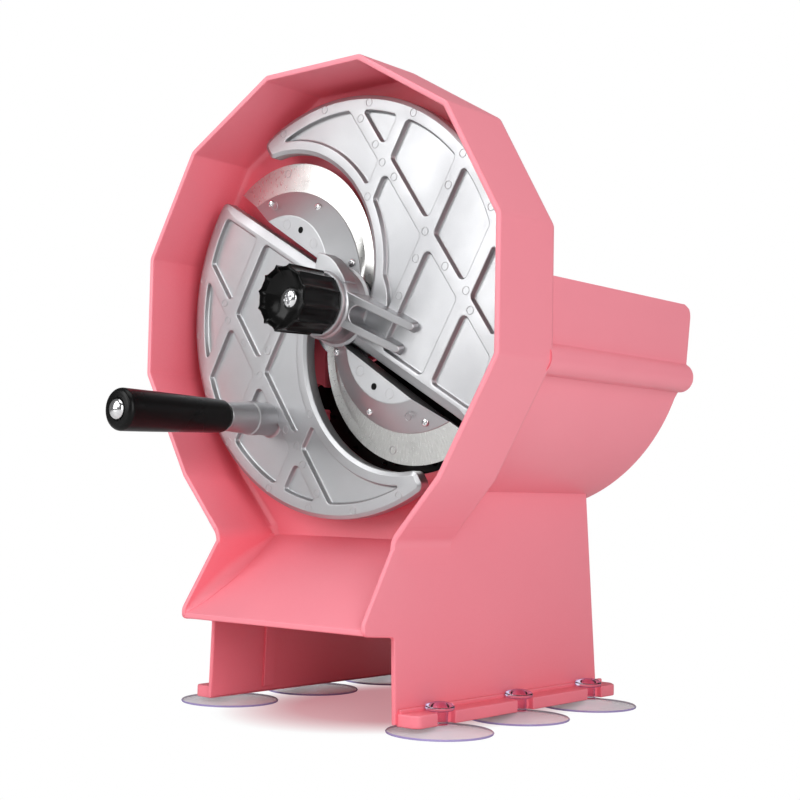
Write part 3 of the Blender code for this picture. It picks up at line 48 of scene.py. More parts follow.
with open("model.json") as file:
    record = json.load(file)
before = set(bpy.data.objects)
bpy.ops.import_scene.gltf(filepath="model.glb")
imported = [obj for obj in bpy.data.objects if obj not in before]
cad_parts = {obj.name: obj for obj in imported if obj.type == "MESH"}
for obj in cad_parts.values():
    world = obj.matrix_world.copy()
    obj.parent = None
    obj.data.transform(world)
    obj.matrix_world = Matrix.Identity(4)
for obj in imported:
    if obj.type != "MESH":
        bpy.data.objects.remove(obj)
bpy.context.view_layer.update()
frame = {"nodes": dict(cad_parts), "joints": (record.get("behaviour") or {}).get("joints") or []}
JOINTS = {joint["name"]: joint for joint in frame["joints"]}
HUB = Vector(JOINTS["disc_spin"]["pos_m"])
CRANK_AXIS = Vector(JOINTS["grip_spin"]["pos_m"]) - HUB


# Sizes and colours

def length(name, text, default):
    """Length property in metres."""
    return bpy.props.FloatProperty(name=name, description=text, default=default, unit="LENGTH", precision=5)


def angle(name, text, default):
    """Angle property whose default is given in degrees."""
    return bpy.props.FloatProperty(name=name, description=text, default=radians(default), subtype="ANGLE")


def colour(name, text, default):
    """Colour property."""
    return bpy.props.FloatVectorProperty(name=name, description=text, default=default, size=3,
                                         subtype="COLOR", min=0.0, max=1.0)


def share(name, text, default):
    """Factor property between none and all."""
    return bpy.props.FloatProperty(name=name, description=text, default=default, subtype="FACTOR",
                                   min=0.0, max=1.0)


class SlicerBodySizes(bpy.types.PropertyGroup):
    """Sizes of the moulded body."""
    drum_radius: length("Drum radius", "Distance from the axis to the drum's corners", 0.145)
    drum_sides: bpy.props.IntProperty(name="Drum sides", description="Sides of the full drum", default=12)
    drum_depth: length("Drum depth", "Depth of the drum over its back wall", 0.051)
    wall: length("Wall", "Thickness of the moulded walls", 0.003)
    lip: length("Lip", "Width of the drum's front lip", 0.0036)
    corner_round: length("Corner round", "Radius of the drum's outer corners", 0.0062)
    notch_half: length("Notch half width", "Half the width where the drum meets the legs", 0.071)
    notch_drop: length("Notch drop", "Drop of the notches below the axis", 0.138)
    leg_spread: bpy.props.FloatProperty(name="Leg spread", description="Outward slope of the legs", default=0.0355)
    leg_back: length("Leg back", "Rear edge of the legs at the foot", 0.200)
    leg_back_top: length("Leg back top", "Rear edge of the legs below the trough", 0.193)
    leg_bottom: length("Leg bottom", "Underside of the foot flanges below the axis", 0.2365)
    cheek_reach: length("Cheek reach", "Reach of the tray's cheeks in front of the rim", 0.0245)
    cheek_top: length("Cheek top", "Drop of the cheeks' upper tip", 0.1806)
    cheek_bottom: length("Cheek bottom", "Drop of the cheeks' lower tip", 0.187)
    tray_top: length("Tray top", "Drop of the tray's upper edge", 0.1364)
    tray_lip: length("Tray lip", "Drop of the tray's front edge", 0.1836)
    trough_length: length("Trough length", "Length of the feed trough", 0.152)
    trough_top: length("Trough top", "Height of the trough's walls above the axis", 0.010)
    trough_right: length("Trough right", "Outside of the trough's right wall at its top", 0.1395)
    trough_waist: length("Trough waist", "Outside of the right wall above the bead", 0.1362)
    trough_left: length("Trough left", "Outside of the trough's left wall", -0.049)
    bead_radius: length("Bead radius", "Radius of the bead along the right wall", 0.0092)
    floor_radius: length("Floor radius", "Radius of the trough's round floor", 0.1176)


class SlicerDiscSizes(bpy.types.PropertyGroup):
    """Sizes of the turning disc, the knob and the crank."""
    wing_radius: length("Wing radius", "Outer radius of the two wings", 0.1268)
    wing_front: length("Wing front", "Depth of the wings' front faces behind the rim", 0.0286)
    wing_depth: length("Wing depth", "Thickness of the wings", 0.0084)
    wing_floor: length("Pocket floor", "Thickness left under the pockets", 0.0052)
    edge_angle: angle("Edge angle", "Direction of the wings' straight edges", -30.0)
    edge_offset: length("Edge offset", "Distance of the straight edges from the axis", 0.014)
    edge_slope: length("Edge slope", "Width of the sloped front of the straight edges", 0.0055)
    sweep_radius: length("Sweep radius", "Radius of the wings' hollow edges", 0.0745)
    rib_width: length("Rib width", "Width of the ribs", 0.008)
    pocket_round: length("Pocket round", "Radius of the pockets' corners", 0.0034)
    collar_radius: length("Collar radius", "Radius of the hub collar", 0.0213)
    collar_front: length("Collar front", "Depth of the collar's front behind the rim", 0.0108)
    band_back: length("Band back", "Depth of the carrier's sloped band at its outer edge", 0.0359)
    band_radius: length("Band radius", "Outer radius of the carrier's band", 0.0624)
    lens_radius: length("Lens radius", "Radius of the carrier's flat lens", 0.0375)
    lens_front: length("Lens front", "Depth of the carrier's lens behind the rim", 0.0267)
    blade_radius: length("Blade radius", "Radius of the cutting edges", 0.0706)
    bevel_radius: length("Bevel radius", "Radius where the ground bevel starts", 0.0655)
    blade_back: length("Blade back", "Depth of the cutting edge behind the rim", 0.0394)
    lobe_angle: angle("Lobe angle", "Direction of the lobes' straight ends", -32.0)
    lobe_offset: length("Lobe offset", "Distance of the lobes' straight ends from the axis", 0.017)
    knob_radius: length("Knob radius", "Outer radius of the thickness knob", 0.020)
    knob_lobes: bpy.props.IntProperty(name="Knob lobes", description="Flutes round the knob", default=12)
    knob_front: length("Knob front", "Front of the knob before the rim", -0.020)
    grip_length: length("Grip length", "Length of the turning grip", 0.081)
    grip_end: length("Grip end radius", "Radius of the grip at its outer end", 0.01225)
    grip_neck: length("Grip neck radius", "Radius of the grip at its inner end", 0.010)
    cup_radius: length("Cup radius", "Radius of the suction cups", 0.030)
    cup_pitch: length("Cup pitch", "Distance between the suction cups", 0.0745)


class SlicerColours(bpy.types.PropertyGroup):
    """Colours and finishes."""
    pink: colour("Pink", "Moulded body", (0.945, 0.300, 0.362))
    pink_shade: colour("Pink shade", "Slight flow marks in the body", (0.920, 0.280, 0.342))
    # Painted shade: a deeper red that an occlusion mask mixes into the body's hollows and the places between its
    # parts
    pink_painted_shade: colour("Pink in hollows", "Deeper colour inside the body", (0.88, 0.150, 0.200))
    pink_gloss: share("Pink roughness", "Roughness of the body", 0.40)
    cast: colour("Cast aluminium", "Wings and carrier", (0.49, 0.495, 0.505))
    cast_shade: colour("Cast shade", "Darker grain of the castings", (0.40, 0.405, 0.42))
    cast_gloss: share("Cast roughness", "Roughness of the castings", 0.36)
    steel: colour("Blade steel", "Ground blades", (0.60, 0.60, 0.585))
    bright: colour("Bright steel", "Screws, pin and spindle", (0.83, 0.83, 0.84))
    black: colour("Black", "Knob, grip and pusher", (0.003, 0.003, 0.003))
    vinyl: colour("Clear vinyl", "Suction cups' heads", (0.95, 0.92, 1.0))
    vinyl_skirt: colour("Vinyl skirt", "Thin part of the suction cups", (0.78, 0.75, 0.83))
    vinyl_rim: colour("Vinyl rim", "Edge of the suction cups", (0.40, 0.34, 0.66))
    bronze: colour("Bronze", "Spindle bush", (0.60, 0.42, 0.22))
    paper: colour("Paper", "Floor and backdrop", (0.90, 0.90, 0.905))


def body_sizes():
    """Sizes of the moulded body."""
    return bpy.context.scene.slicer_body


def disc_sizes():
    """Sizes of the disc."""
    return bpy.context.scene.slicer_disc


def colours():
    """Colours of the slicer."""
    return bpy.context.scene.slicer_colours


# Places that more than one piece is drawn from
ORIGIN = (0.0, 0.0)
SHAFT_BORE = 0.0063
CUP_LINE = 0.0835
FIRST_CUP = 0.0272
SWEEP_CENTRE = (-0.048, 0.024)
LONG_RIB = (-55.0, 0.076)
CROSS_RIBS = (60.0, (-0.0135, 0.0393, 0.0817))
LENS_CENTRE = (-0.046, 0.0219)
BAND_CENTRE = (-0.0518, 0.0138)
BEVEL_CENTRE = (-0.0535, 0.0230)
BLADE_CENTRE = (-0.0524, 0.0240)
BLADE_SCREWS = ((-0.0642, 0.070, 0.0335), (-0.0228, 0.063, 0.0328), (0.0051, 0.0265, 0.0337))
FEED_CENTRE = (0.040, -0.012)
FEED_RADIUS = 0.088
FOLD_REACH = 0.0034
EAR_CENTRE = (-0.0342, -0.053)
BEAD_CENTRE = (0.132, -0.035)
FLOOR_CENTRE = (0.0195, -0.0025)


# Flat geometry in the front view

def polar(radius, turn, centre=ORIGIN):
    """Point at a radius and an angle."""
    return (centre[0] + radius * cos(turn), centre[1] + radius * sin(turn))


def arc(centre, radius, start, end, step=0.0015):
    """Points along an arc at about the given spacing."""
    count = max(2, int(abs(end - start) * radius / step))
    return [polar(radius, start + (end - start) * i / count, centre) for i in range(count + 1)]


def turn_point(point, turn):
    """Point turned about the disc axis."""
    return (point[0] * cos(turn) - point[1] * sin(turn), point[0] * sin(turn) + point[1] * cos(turn))


def turn_of(point, centre=ORIGIN):
    """Direction of a point from a centre."""
    return atan2(point[1] - centre[1], point[0] - centre[0])


def circles_meet(centre_a, radius_a, centre_b, radius_b, side):
    """Point where two circles meet, left of the line from a to b for side 1."""
    dx, dz = centre_b[0] - centre_a[0], centre_b[1] - centre_a[1]
    span = hypot(dx, dz)
    along = (span * span + radius_a ** 2 - radius_b ** 2) / (2 * span)
    across = side * sqrt(radius_a ** 2 - along ** 2)
    return (centre_a[0] + (along * dx - across * dz) / span, centre_a[1] + (along * dz + across * dx) / span)


def clipped(outline, turn, limit, side):
    """Part of an outline beyond a limit along a direction, for side 1, or short of it, for side -1."""
    kept = []
    normal = (cos(turn), sin(turn))
    heights = [side * (x * normal[0] + z * normal[1] - limit) for x, z in outline]
    for i, (x, z) in enumerate(outline):
        before = outline[i - 1]
        if (heights[i - 1] > 0) != (heights[i] > 0):
            part = heights[i - 1] / (heights[i - 1] - heights[i])
            kept.append((before[0] + part * (x - before[0]), before[1] + part * (z - before[1])))
        if heights[i] > 0:
            kept.append((x, z))
    return kept


def spaced(outline, least):
    """Closed outline without steps shorter than the least."""
    kept = []
    for point in outline:
        if not kept or hypot(point[0] - kept[-1][0], point[1] - kept[-1][1]) > least:
            kept.append(point)
    while len(kept) > 3 and hypot(kept[0][0] - kept[-1][0], kept[0][1] - kept[-1][1]) < least:
        kept.pop()
    return kept


def filleted(outline, radius, closed=True, least_turn=14.0, segments=6):
    """Outline with its corners rounded to a radius, or to the radius that a function gives for each."""
    result = []
    count = len(outline)
    for i, corner in enumerate(outline):
        if not closed and i in (0, count - 1):
            result.append(corner)
            continue
        inward = Vector(outline[i - 1]) - Vector(corner)
        outward = Vector(outline[(i + 1) % count]) - Vector(corner)
        bend = pi - inward.angle(outward)
        size = radius(corner) if callable(radius) else radius
        if bend < radians(least_turn) or size <= 0:
            result.append(corner)
            continue
        reach = min(size * tan(bend / 2), inward.length * 0.49, outward.length * 0.49)
        size = reach / tan(bend / 2)
        middle = (inward.normalized() + outward.normalized()).normalized()
        centre = Vector(corner) + middle * (size / cos(bend / 2))
        first = Vector(corner) + inward.normalized() * reach - centre
        last = Vector(corner) + outward.normalized() * reach - centre
        start, sweep = atan2(first.y, first.x), first.angle_signed(last) * -1
        steps = max(2, int(segments * bend / (pi / 2)) + 1)
        for step in range(steps + 1):
            way = start + sweep * step / steps
            result.append((centre.x + size * cos(way), centre.y + size * sin(way)))
    return result


def resampled(outline, step, closed=True):
    """Outline with long steps divided."""
    result = []
    count = len(outline)
    for i in range(count if closed else count - 1):
        a, b = outline[i], outline[(i + 1) % count]
        parts = max(1, int(hypot(b[0] - a[0], b[1] - a[1]) / step))
        result += [(a[0] + (b[0] - a[0]) * k / parts, a[1] + (b[1] - a[1]) * k / parts) for k in range(parts)]
    if not closed:
        result.append(outline[-1])
    return result


def area(outline):
    """Signed area of an outline."""
    return sum(a[0] * b[1] - b[0] * a[1] for a, b in zip(outline, outline[1:] + outline[:1])) / 2


def moved_out(outline, distance, closed=True):
    """Outline moved outwards by a distance, or by a list of distances, one for each point."""
    count = len(outline)
    distances = distance if isinstance(distance, list) else [distance] * count
    hand = 1 if not closed or area(outline) > 0 else -1
    moved = []
    for i, point in enumerate(outline):
        before = outline[i - 1] if closed or i else point
        after = outline[(i + 1) % count] if closed or i < count - 1 else point
        first = Vector((point[0] - before[0], point[1] - before[1]))
        second = Vector((after[0] - point[0], after[1] - point[1]))
        first = first if first.length > 1e-9 else second
        second = second if second.length > 1e-9 else first
        first.normalize()
        second.normalize()
        normal = Vector((first.y + second.y, -first.x - second.x))
        normal = normal.normalized() if normal.length > 1e-6 else Vector((first.y, -first.x))
        stretch = 1 / max(0.5, normal.dot(Vector((first.y, -first.x))))
        moved.append((point[0] + hand * normal.x * distances[i] * stretch,
                      point[1] + hand * normal.y * distances[i] * stretch))
    return moved


# Meshes

def front(x, z, y):
    """Front view point at a depth."""
    return Vector((x, y, z))


def straight(x, y, z):
    """Point given in the order of its axes."""
    return Vector((x, y, z))


def quarter(steps, first=0):
    """Turns that divide a right angle."""
    return [pi / 2 * k / steps for k in range(first, steps + 1)]


def loft(work, rings, closed=True):
    """Faces between rings of points, each ring closed or open."""
    rows = [[work.verts.new(point) for point in ring] for ring in rings]
    bridge(work, rows, closed)
    return rows


def bridge(work, rows, closed=True):
    """Faces between rows of vertices."""
    for low, high in zip(rows, rows[1:]):
        count = len(low)
        for i in range(count if closed else count - 1):
            k = (i + 1) % count
            work.faces.new((low[i], low[k], high[k], high[i]))


def fill(work, loops):
    """Flat face with holes between loops of vertices that exist already."""
    flat = [vertex for loop in loops for vertex in loop]
    for triangle in tessellate_polygon([[vertex.co for vertex in loop] for loop in loops]):
        corners = [flat[i] for i in triangle]
        if len(set(corners)) == 3:
            try:
                work.faces.new(corners)
            except ValueError:
                continue


def revolve(work, profile, steps, centre=ORIGIN, place=front):
    """Turned form from (radius, position) points. A radius of nothing closes the form."""
    return leaning(work, [(centre, radius, position) for radius, position in profile], steps, place)


def leaning(work, circles, steps, place=front):
    """Form through circles given as (centre, radius, position). A radius of nothing closes the form."""
    rows = []
    for centre, radius, position in circles:
        if radius < 1e-7:
            rows.append([work.verts.new(place(centre[0], centre[1], position))])
        else:
            rows.append([work.verts.new(place(*polar(radius, 2 * pi * i / steps, centre), position))
                         for i in range(steps)])
    for low, high in zip(rows, rows[1:]):
        for i in range(steps):
            k = (i + 1) % steps
            corners = [low[i % len(low)], low[k % len(low)], high[k % len(high)], high[i % len(high)]]
            corners = [v for n, v in enumerate(corners) if v not in corners[:n]]
            if len(corners) > 2:
                work.faces.new(corners)
    return rows


def rounded(profile, radius, segments=4):
    """Profile with its inner corners rounded."""
    return filleted(profile, radius, closed=False, least_turn=20.0, segments=segments)


def slab(work, outline, near, far, edge, place=front, holes=(), steps=3):
    """Flat plate between two depths with rounded edges, and holes that go right through."""
    turns = quarter(steps)
    levels = [(-edge * (1 - sin(a)), near + edge * (1 - cos(a))) for a in turns]
    levels += [(-edge * (1 - cos(a)), far - edge * (1 - sin(a))) for a in turns]
    near_loops, far_loops = [], []
    for loop, sign in [(outline, 1)] + [(hole, -1) for hole in holes]:
        rings = [[place(x, z, depth) for x, z in moved_out(loop, sign * out)] for out, depth in levels]
        rows = loft(work, rings)
        near_loops.append(rows[0])
        far_loops.append(rows[-1])
    fill(work, near_loops)
    fill(work, far_loops)


def finish(name, work, material, body, nodes=(), slot=None, edge=0.0, sharp=32.0, segments=3):
    """Object from a mesh: placed on the slicer, shaded, given to its body and put in place of its nodes."""
    bmesh.ops.remove_doubles(work, verts=work.verts, dist=1e-7)
    bmesh.ops.recalc_face_normals(work, faces=work.faces)
    mesh = bpy.data.meshes.new(name)
    work.to_mesh(mesh)
    work.free()
    mesh.transform(Matrix.Translation(HUB))
    piece = bpy.data.objects.new(name, mesh)
    bpy.context.scene.collection.objects.link(piece)
    mesh.materials.append(material)
    mesh.shade_smooth()
    mesh.set_sharp_from_angle(angle=radians(sharp))
    if edge:
        rounding = piece.modifiers.new("edges", "BEVEL")
        rounding.width = edge
        rounding.segments = segments
        rounding.limit_method = "ANGLE"
        rounding.angle_limit = radians(50)
        rounding.harden_normals = True
    normals = piece.modifiers.new("even_shading", "WEIGHTED_NORMAL")
    normals.keep_sharp = True
    normals.weight = 80
    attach(piece, body)
    if nodes:
        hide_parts(*nodes)
    return piece


def moulded(name, build, *rest, **options):
    """Piece whose mesh a function builds."""
    work = bmesh.new()
    build(work)
    return finish(name, work, *rest, **options)


def turned(name, profile, steps, centre, *rest, place=front, **options):
    """Piece turned from a profile."""
    return moulded(name, lambda work: revolve(work, profile, steps, centre, place), *rest, **options)


def plain_node(name, material):
    """Material for a node that is shown as it is."""
    mesh = frame["nodes"][name].data
    mesh.materials.clear()
    mesh.materials.append(material)


def joined(target, source, turn=Matrix.Identity(4)):
    """Mesh with another one added to it, turned."""
    copy = bpy.data.meshes.new("part")
    source.to_mesh(copy)
    copy.transform(turn)
    target.from_mesh(copy)
    bpy.data.meshes.remove(copy)
    return target


HALF_TURN = Matrix.Rotation(pi, 4, "Y")


# Node groups and materials

def new_group(name, inputs, outputs):
    """Shader node group with its sockets."""
    group = bpy.data.node_groups.new(name, "ShaderNodeTree")
    for label, kind, default in inputs:
        socket = group.interface.new_socket(label, in_out="INPUT", socket_type=kind)
        socket.default_value = default
    for label, kind in outputs:
        group.interface.new_socket(label, in_out="OUTPUT", socket_type=kind)
    return group, group.nodes.new("NodeGroupInput"), group.nodes.new("NodeGroupOutput")


def feed(links, socket, source):
    """Socket fed by another socket, or set to a value."""
    if isinstance(source, bpy.types.NodeSocket):
        links.new(source, socket)
    else:
        socket.default_value = source


def maths(nodes, links, operation, *sources, kind="ShaderNodeMath"):
    """Maths node on numbers, or on vectors."""
    node = nodes.new(kind)
    node.operation = operation
    for socket, source in zip(node.inputs, sources):
        feed(links, socket, source)
    return node.outputs["Value"] if kind == "ShaderNodeMath" or operation == "LENGTH" else node.outputs[0]


def vectors(nodes, links, operation, *sources):
    """Maths node on vectors."""
    return maths(nodes, links, operation, *sources, kind="ShaderNodeVectorMath")


def relief_node(nodes, links, height, strength, distance):
    """Bump normal from a height."""
    relief = nodes.new("ShaderNodeBump")
    relief.inputs["Strength"].default_value = strength
    relief.inputs["Distance"].default_value = distance
    links.new(height, relief.inputs["Height"])
    return relief.outputs["Normal"]


def seen_rays(nodes, links):
    """Mask of the rays that come from the camera, straight or through the vinyl."""
    rays = nodes.new("ShaderNodeLightPath")
    return maths(nodes, links, "MAXIMUM", rays.outputs["Is Camera Ray"], rays.outputs["Is Transmission Ray"])


def noise_node(nodes, links, vector, scale, detail, roughness=0.5):
    """Noise texture on a vector."""
    noise = nodes.new("ShaderNodeTexNoise")
    noise.inputs["Detail"].default_value = detail
    noise.inputs["Roughness"].default_value = roughness
    links.new(vector, noise.inputs["Vector"])
    feed(links, noise.inputs["Scale"], scale)
    return noise.outputs["Fac"]


def range_node(nodes, links, value, low, high, to_low, to_high):
    """Value stretched from one range to another."""
    stretch = nodes.new("ShaderNodeMapRange")
    links.new(value, stretch.inputs["Value"])
    for label, number in (("From Min", low), ("From Max", high), ("To Min", to_low), ("To Max", to_high)):
        feed(links, stretch.inputs[label], number)
    return stretch.outputs["Result"]


def mix_colours(nodes, links, factor, first, second):
    """Mix of two colours by a mask."""
    mix = nodes.new("ShaderNodeMix")
    mix.data_type = "RGBA"
    links.new(factor, mix.inputs[0])
    feed(links, mix.inputs[6], first)
    feed(links, mix.inputs[7], second)
    return mix.outputs[2]


def surface_group():
    """Even surface with slow colour drift, fine grain and a roughness that wanders."""
    if "surface_grain" in bpy.data.node_groups:
        return bpy.data.node_groups["surface_grain"]
    group, entry, result = new_group("surface_grain", [
        ("Colour", "NodeSocketColor", (0.8, 0.8, 0.8, 1.0)),
        ("Shade", "NodeSocketColor", (0.7, 0.7, 0.7, 1.0)),
        ("Drift Scale", "NodeSocketFloat", 12.0),
        ("Grain Scale", "NodeSocketFloat", 900.0),
        ("Grain Share", "NodeSocketFloat", 0.3),
        ("Roughness Low", "NodeSocketFloat", 0.35),
        ("Roughness High", "NodeSocketFloat", 0.45),
    ], [("Colour", "NodeSocketColor"), ("Roughness", "NodeSocketFloat"), ("Height", "NodeSocketFloat")])
    nodes, links = group.nodes, group.links
    place = nodes.new("ShaderNodeTexCoord").outputs["Object"]
    drift = noise_node(nodes, links, place, entry.outputs["Drift Scale"], 3.0)
    grain = noise_node(nodes, links, place, entry.outputs["Grain Scale"], 4.0, 0.6)
    slow = range_node(nodes, links, drift, 0.35, 0.65, 0.0, 1.0)
    blend = nodes.new("ShaderNodeMix")
    blend.data_type = "FLOAT"
    links.new(entry.outputs["Grain Share"], blend.inputs[0])
    links.new(slow, blend.inputs[2])
    links.new(grain, blend.inputs[3])
    links.new(mix_colours(nodes, links, blend.outputs[0], entry.outputs["Colour"], entry.outputs["Shade"]),
              result.inputs["Colour"])
    links.new(range_node(nodes, links, blend.outputs[0], 0.2, 0.8, entry.outputs["Roughness Low"],
                         entry.outputs["Roughness High"]), result.inputs["Roughness"])
    links.new(grain, result.inputs["Height"])
    return group


def turning_group():
    """Fine rings left by turning or grinding round an axis that runs along Y."""
    if "turning_marks" in bpy.data.node_groups:
        return bpy.data.node_groups["turning_marks"]
    group, entry, result = new_group("turning_marks", [
        ("Centre", "NodeSocketVector", (0.0, 0.0, 0.0)),
        ("Ring Scale", "NodeSocketFloat", 2500.0),
        ("Sweep Scale", "NodeSocketFloat", 6.0),
        ("Colour", "NodeSocketColor", (0.8, 0.8, 0.8, 1.0)),
        ("Shade", "NodeSocketColor", (0.6, 0.6, 0.6, 1.0)),
        ("Roughness Low", "NodeSocketFloat", 0.2),
        ("Roughness High", "NodeSocketFloat", 0.35),
    ], [("Colour", "NodeSocketColor"), ("Roughness", "NodeSocketFloat"), ("Height", "NodeSocketFloat")])
    nodes, links = group.nodes, group.links
    place = nodes.new("ShaderNodeTexCoord").outputs["Object"]
    shift = vectors(nodes, links, "SUBTRACT", place, entry.outputs["Centre"])
    flat = vectors(nodes, links, "MULTIPLY", shift, (1.0, 0.0, 1.0))
    reach = vectors(nodes, links, "LENGTH", flat)
    parts = nodes.new("ShaderNodeSeparateXYZ")
    links.new(shift, parts.inputs[0])
    way = maths(nodes, links, "ARCTAN2", parts.outputs["Z"], parts.outputs["X"])
    spot = nodes.new("ShaderNodeCombineXYZ")
    links.new(maths(nodes, links, "MULTIPLY", reach, entry.outputs["Ring Scale"]), spot.inputs["X"])
    links.new(maths(nodes, links, "MULTIPLY", way, entry.outputs["Sweep Scale"]), spot.inputs["Y"])
    marks = noise_node(nodes, links, spot.outputs[0], 1.0, 3.0, 0.6)
    mask = range_node(nodes, links, marks, 0.3, 0.7, 0.0, 1.0)
    links.new(mix_colours(nodes, links, mask, entry.outputs["Colour"], entry.outputs["Shade"]),
              result.inputs["Colour"])
    links.new(range_node(nodes, links, mask, 0.0, 1.0, entry.outputs["Roughness Low"],
                         entry.outputs["Roughness High"]), result.inputs["Roughness"])
    links.new(mask, result.inputs["Height"])
    return group


def grained_material(name, group, values, bump, shader_values):
    """Principled material whose colour, roughness and relief come from a group."""
    if name in bpy.data.materials:
        return bpy.data.materials[name]
    material = bpy.data.materials.new(name)
    material.use_nodes = True
    nodes, links = material.node_tree.nodes, material.node_tree.links
    shader = nodes["Principled BSDF"]
    effect = nodes.new("ShaderNodeGroup")
    effect.node_tree = group
    for label, value in values.items():
        effect.inputs[label].default_value = value
    for label, value in shader_values.items():
        shader.inputs[label].default_value = value
    links.new(effect.outputs["Colour"], shader.inputs["Base Color"])
    links.new(effect.outputs["Roughness"], shader.inputs["Roughness"])
    links.new(relief_node(nodes, links, effect.outputs["Height"], *bump), shader.inputs["Normal"])
    material.diffuse_color = (*values["Colour"][:3], 1.0)
    return material


def full(tint):
    """Colour with its fourth number."""
    return (*tint, 1.0)


def pink_plastic():
    """Satin pink moulding, with painted shade: a deeper red mixed into its colour in hollows."""
    paint = colours()
    material = grained_material("pink_moulding", surface_group(), {
        "Colour": full(paint.pink), "Shade": full(paint.pink_shade), "Drift Scale": 9.0, "Grain Scale": 1400.0,
        "Grain Share": 0.35, "Roughness Low": paint.pink_gloss - 0.04, "Roughness High": paint.pink_gloss + 0.05,
    }, (0.12, 0.00012), {"Specular IOR Level": 0.50})
    nodes, links = material.node_tree.nodes, material.node_tree.links
    # Painted shade: the occlusion mask turns the colour to a deeper red in hollows and between parts
    if "Ambient Occlusion" not in nodes:
        hollow = nodes.new("ShaderNodeAmbientOcclusion")
        hollow.samples = 6
        hollow.inputs["Distance"].default_value = 0.14
        plain = nodes["Group"].outputs["Colour"]
        open_air = range_node(nodes, links, hollow.outputs["AO"], 0.25, 0.85, 0.0, 1.0)
        links.new(mix_colours(nodes, links, open_air, full(paint.pink_painted_shade), plain),
                  nodes["Principled BSDF"].inputs["Base Color"])
    return material


def cast_metal():
    """Blasted and lacquered aluminium casting."""
    paint = colours()
    return grained_material("cast_aluminium_satin", surface_group(), {
        "Colour": full(paint.cast), "Shade": full(paint.cast_shade), "Drift Scale": 22.0, "Grain Scale": 2600.0,
        "Grain Share": 0.6, "Roughness Low": paint.cast_gloss - 0.05, "Roughness High": paint.cast_gloss + 0.08,
    }, (0.30, 0.00010), {"Metallic": 0.92})


def ground_steel(name, centre):
    """Ground blade steel, with its marks round the lobe's centre."""
    return turned_metal(name, colours().steel, 0.86, (HUB.x + centre[0], HUB.y, HUB.z + centre[1]), 260.0, 60.0,
                        0.24, 0.40, (0.10, 0.00005))


def turned_metal(name, tint, shade, centre, ring_scale, sweep_scale, low, high, bump):
    """Metal with the rings of turning or grinding. The shade is a share of its colour."""
    return grained_material(name, turning_group(), {
        "Centre": centre, "Ring Scale": ring_scale, "Sweep Scale": sweep_scale, "Colour": full(tint),
        "Shade": full(shade * c for c in tint), "Roughness Low": low, "Roughness High": high,
    }, bump, {"Metallic": 1.0})


def bright_metal():
    """Bright turned steel."""
    return turned_metal("bright_turned_steel", colours().bright, 0.85, tuple(HUB), 3500.0, 2.0, 0.10, 0.20,
                        (0.05, 0.00003))


def bronze_metal():
    """Bearing bronze."""
    return turned_metal("bearing_bronze", colours().bronze, 0.8, tuple(HUB), 3500.0, 2.0, 0.25, 0.38,
                        (0.08, 0.00004))


def black_plastic(name="black_moulding", low=0.22, high=0.32):
    """Smooth black moulding."""
    paint = colours()
    return grained_material(name, surface_group(), {
        "Colour": full(paint.black), "Shade": full(1.5 * c for c in paint.black), "Drift Scale": 30.0,
        "Grain Scale": 2200.0, "Grain Share": 0.5, "Roughness Low": low, "Roughness High": high,
    }, (0.08, 0.00006), {"Specular IOR Level": 0.16})


def clear_vinyl():
    """Clear soft vinyl with a violet cast."""
    name = "soft_clear_vinyl"
    if name in bpy.data.materials:
        return bpy.data.materials[name]
    material = bpy.data.materials.new(name)
    material.use_nodes = True
    nodes, links = material.node_tree.nodes, material.node_tree.links
    shader = nodes["Principled BSDF"]
    shader.inputs["Transmission Weight"].default_value = 1.0
    shader.inputs["IOR"].default_value = 1.32
    place = nodes.new("ShaderNodeTexCoord").outputs["Object"]
    haze = noise_node(nodes, links, place, 60.0, 2.0)
    links.new(range_node(nodes, links, haze, 0.3, 0.7, 0.0, 0.02), shader.inputs["Roughness"])
    ramp = nodes.new("ShaderNodeValToRGB")
    ramp.color_ramp.elements[0].color = full(colours().vinyl)
    ramp.color_ramp.elements[0].position = 0.12
    ramp.color_ramp.elements[1].position = 0.85
    ramp.color_ramp.elements[1].color = (0.42, 0.36, 0.80, 1.0)
    edge = nodes.new("ShaderNodeLayerWeight")
    edge.inputs["Blend"].default_value = 0.5
    links.new(edge.outputs["Facing"], ramp.inputs["Fac"])
    links.new(ramp.outputs["Color"], shader.inputs["Base Color"])
    material.diffuse_color = (*colours().vinyl, 0.4)
    return material


def thin_vinyl(name, tint, cover):
    """Thin vinyl that the ground shows through."""
    return grained_material(name, surface_group(), {
        "Colour": full(tint), "Shade": full(tint), "Drift Scale": 30.0, "Grain Scale": 900.0, "Grain Share": 0.2,
        "Roughness Low": 0.10, "Roughness High": 0.18,
    }, (0.05, 0.0001), {"Specular IOR Level": 0.5, "Alpha": cover})


# Moulded body

def leg_outer(z):
    """Half width over the legs at a height."""
    sizes = body_sizes()
    return sizes.notch_half + sizes.leg_spread * (-sizes.notch_drop - z)


def drum_path():
    """Drum's outline from the right notch over the top to the left notch, with rounded corners."""
    sizes = body_sizes()
    step = 360 // sizes.drum_sides
    corners = [polar(sizes.drum_radius, radians(turn)) for turn in range(-45, 226, step)]
    notch = Vector((sizes.notch_half, -sizes.notch_drop))
    end = notch + (Vector(corners[0]) - notch).normalized() * FOLD_REACH
    path = [tuple(end), *corners, (-end.x, end.y)]
    return resampled(filleted(path, sizes.corner_round, closed=False), 0.006, closed=False)


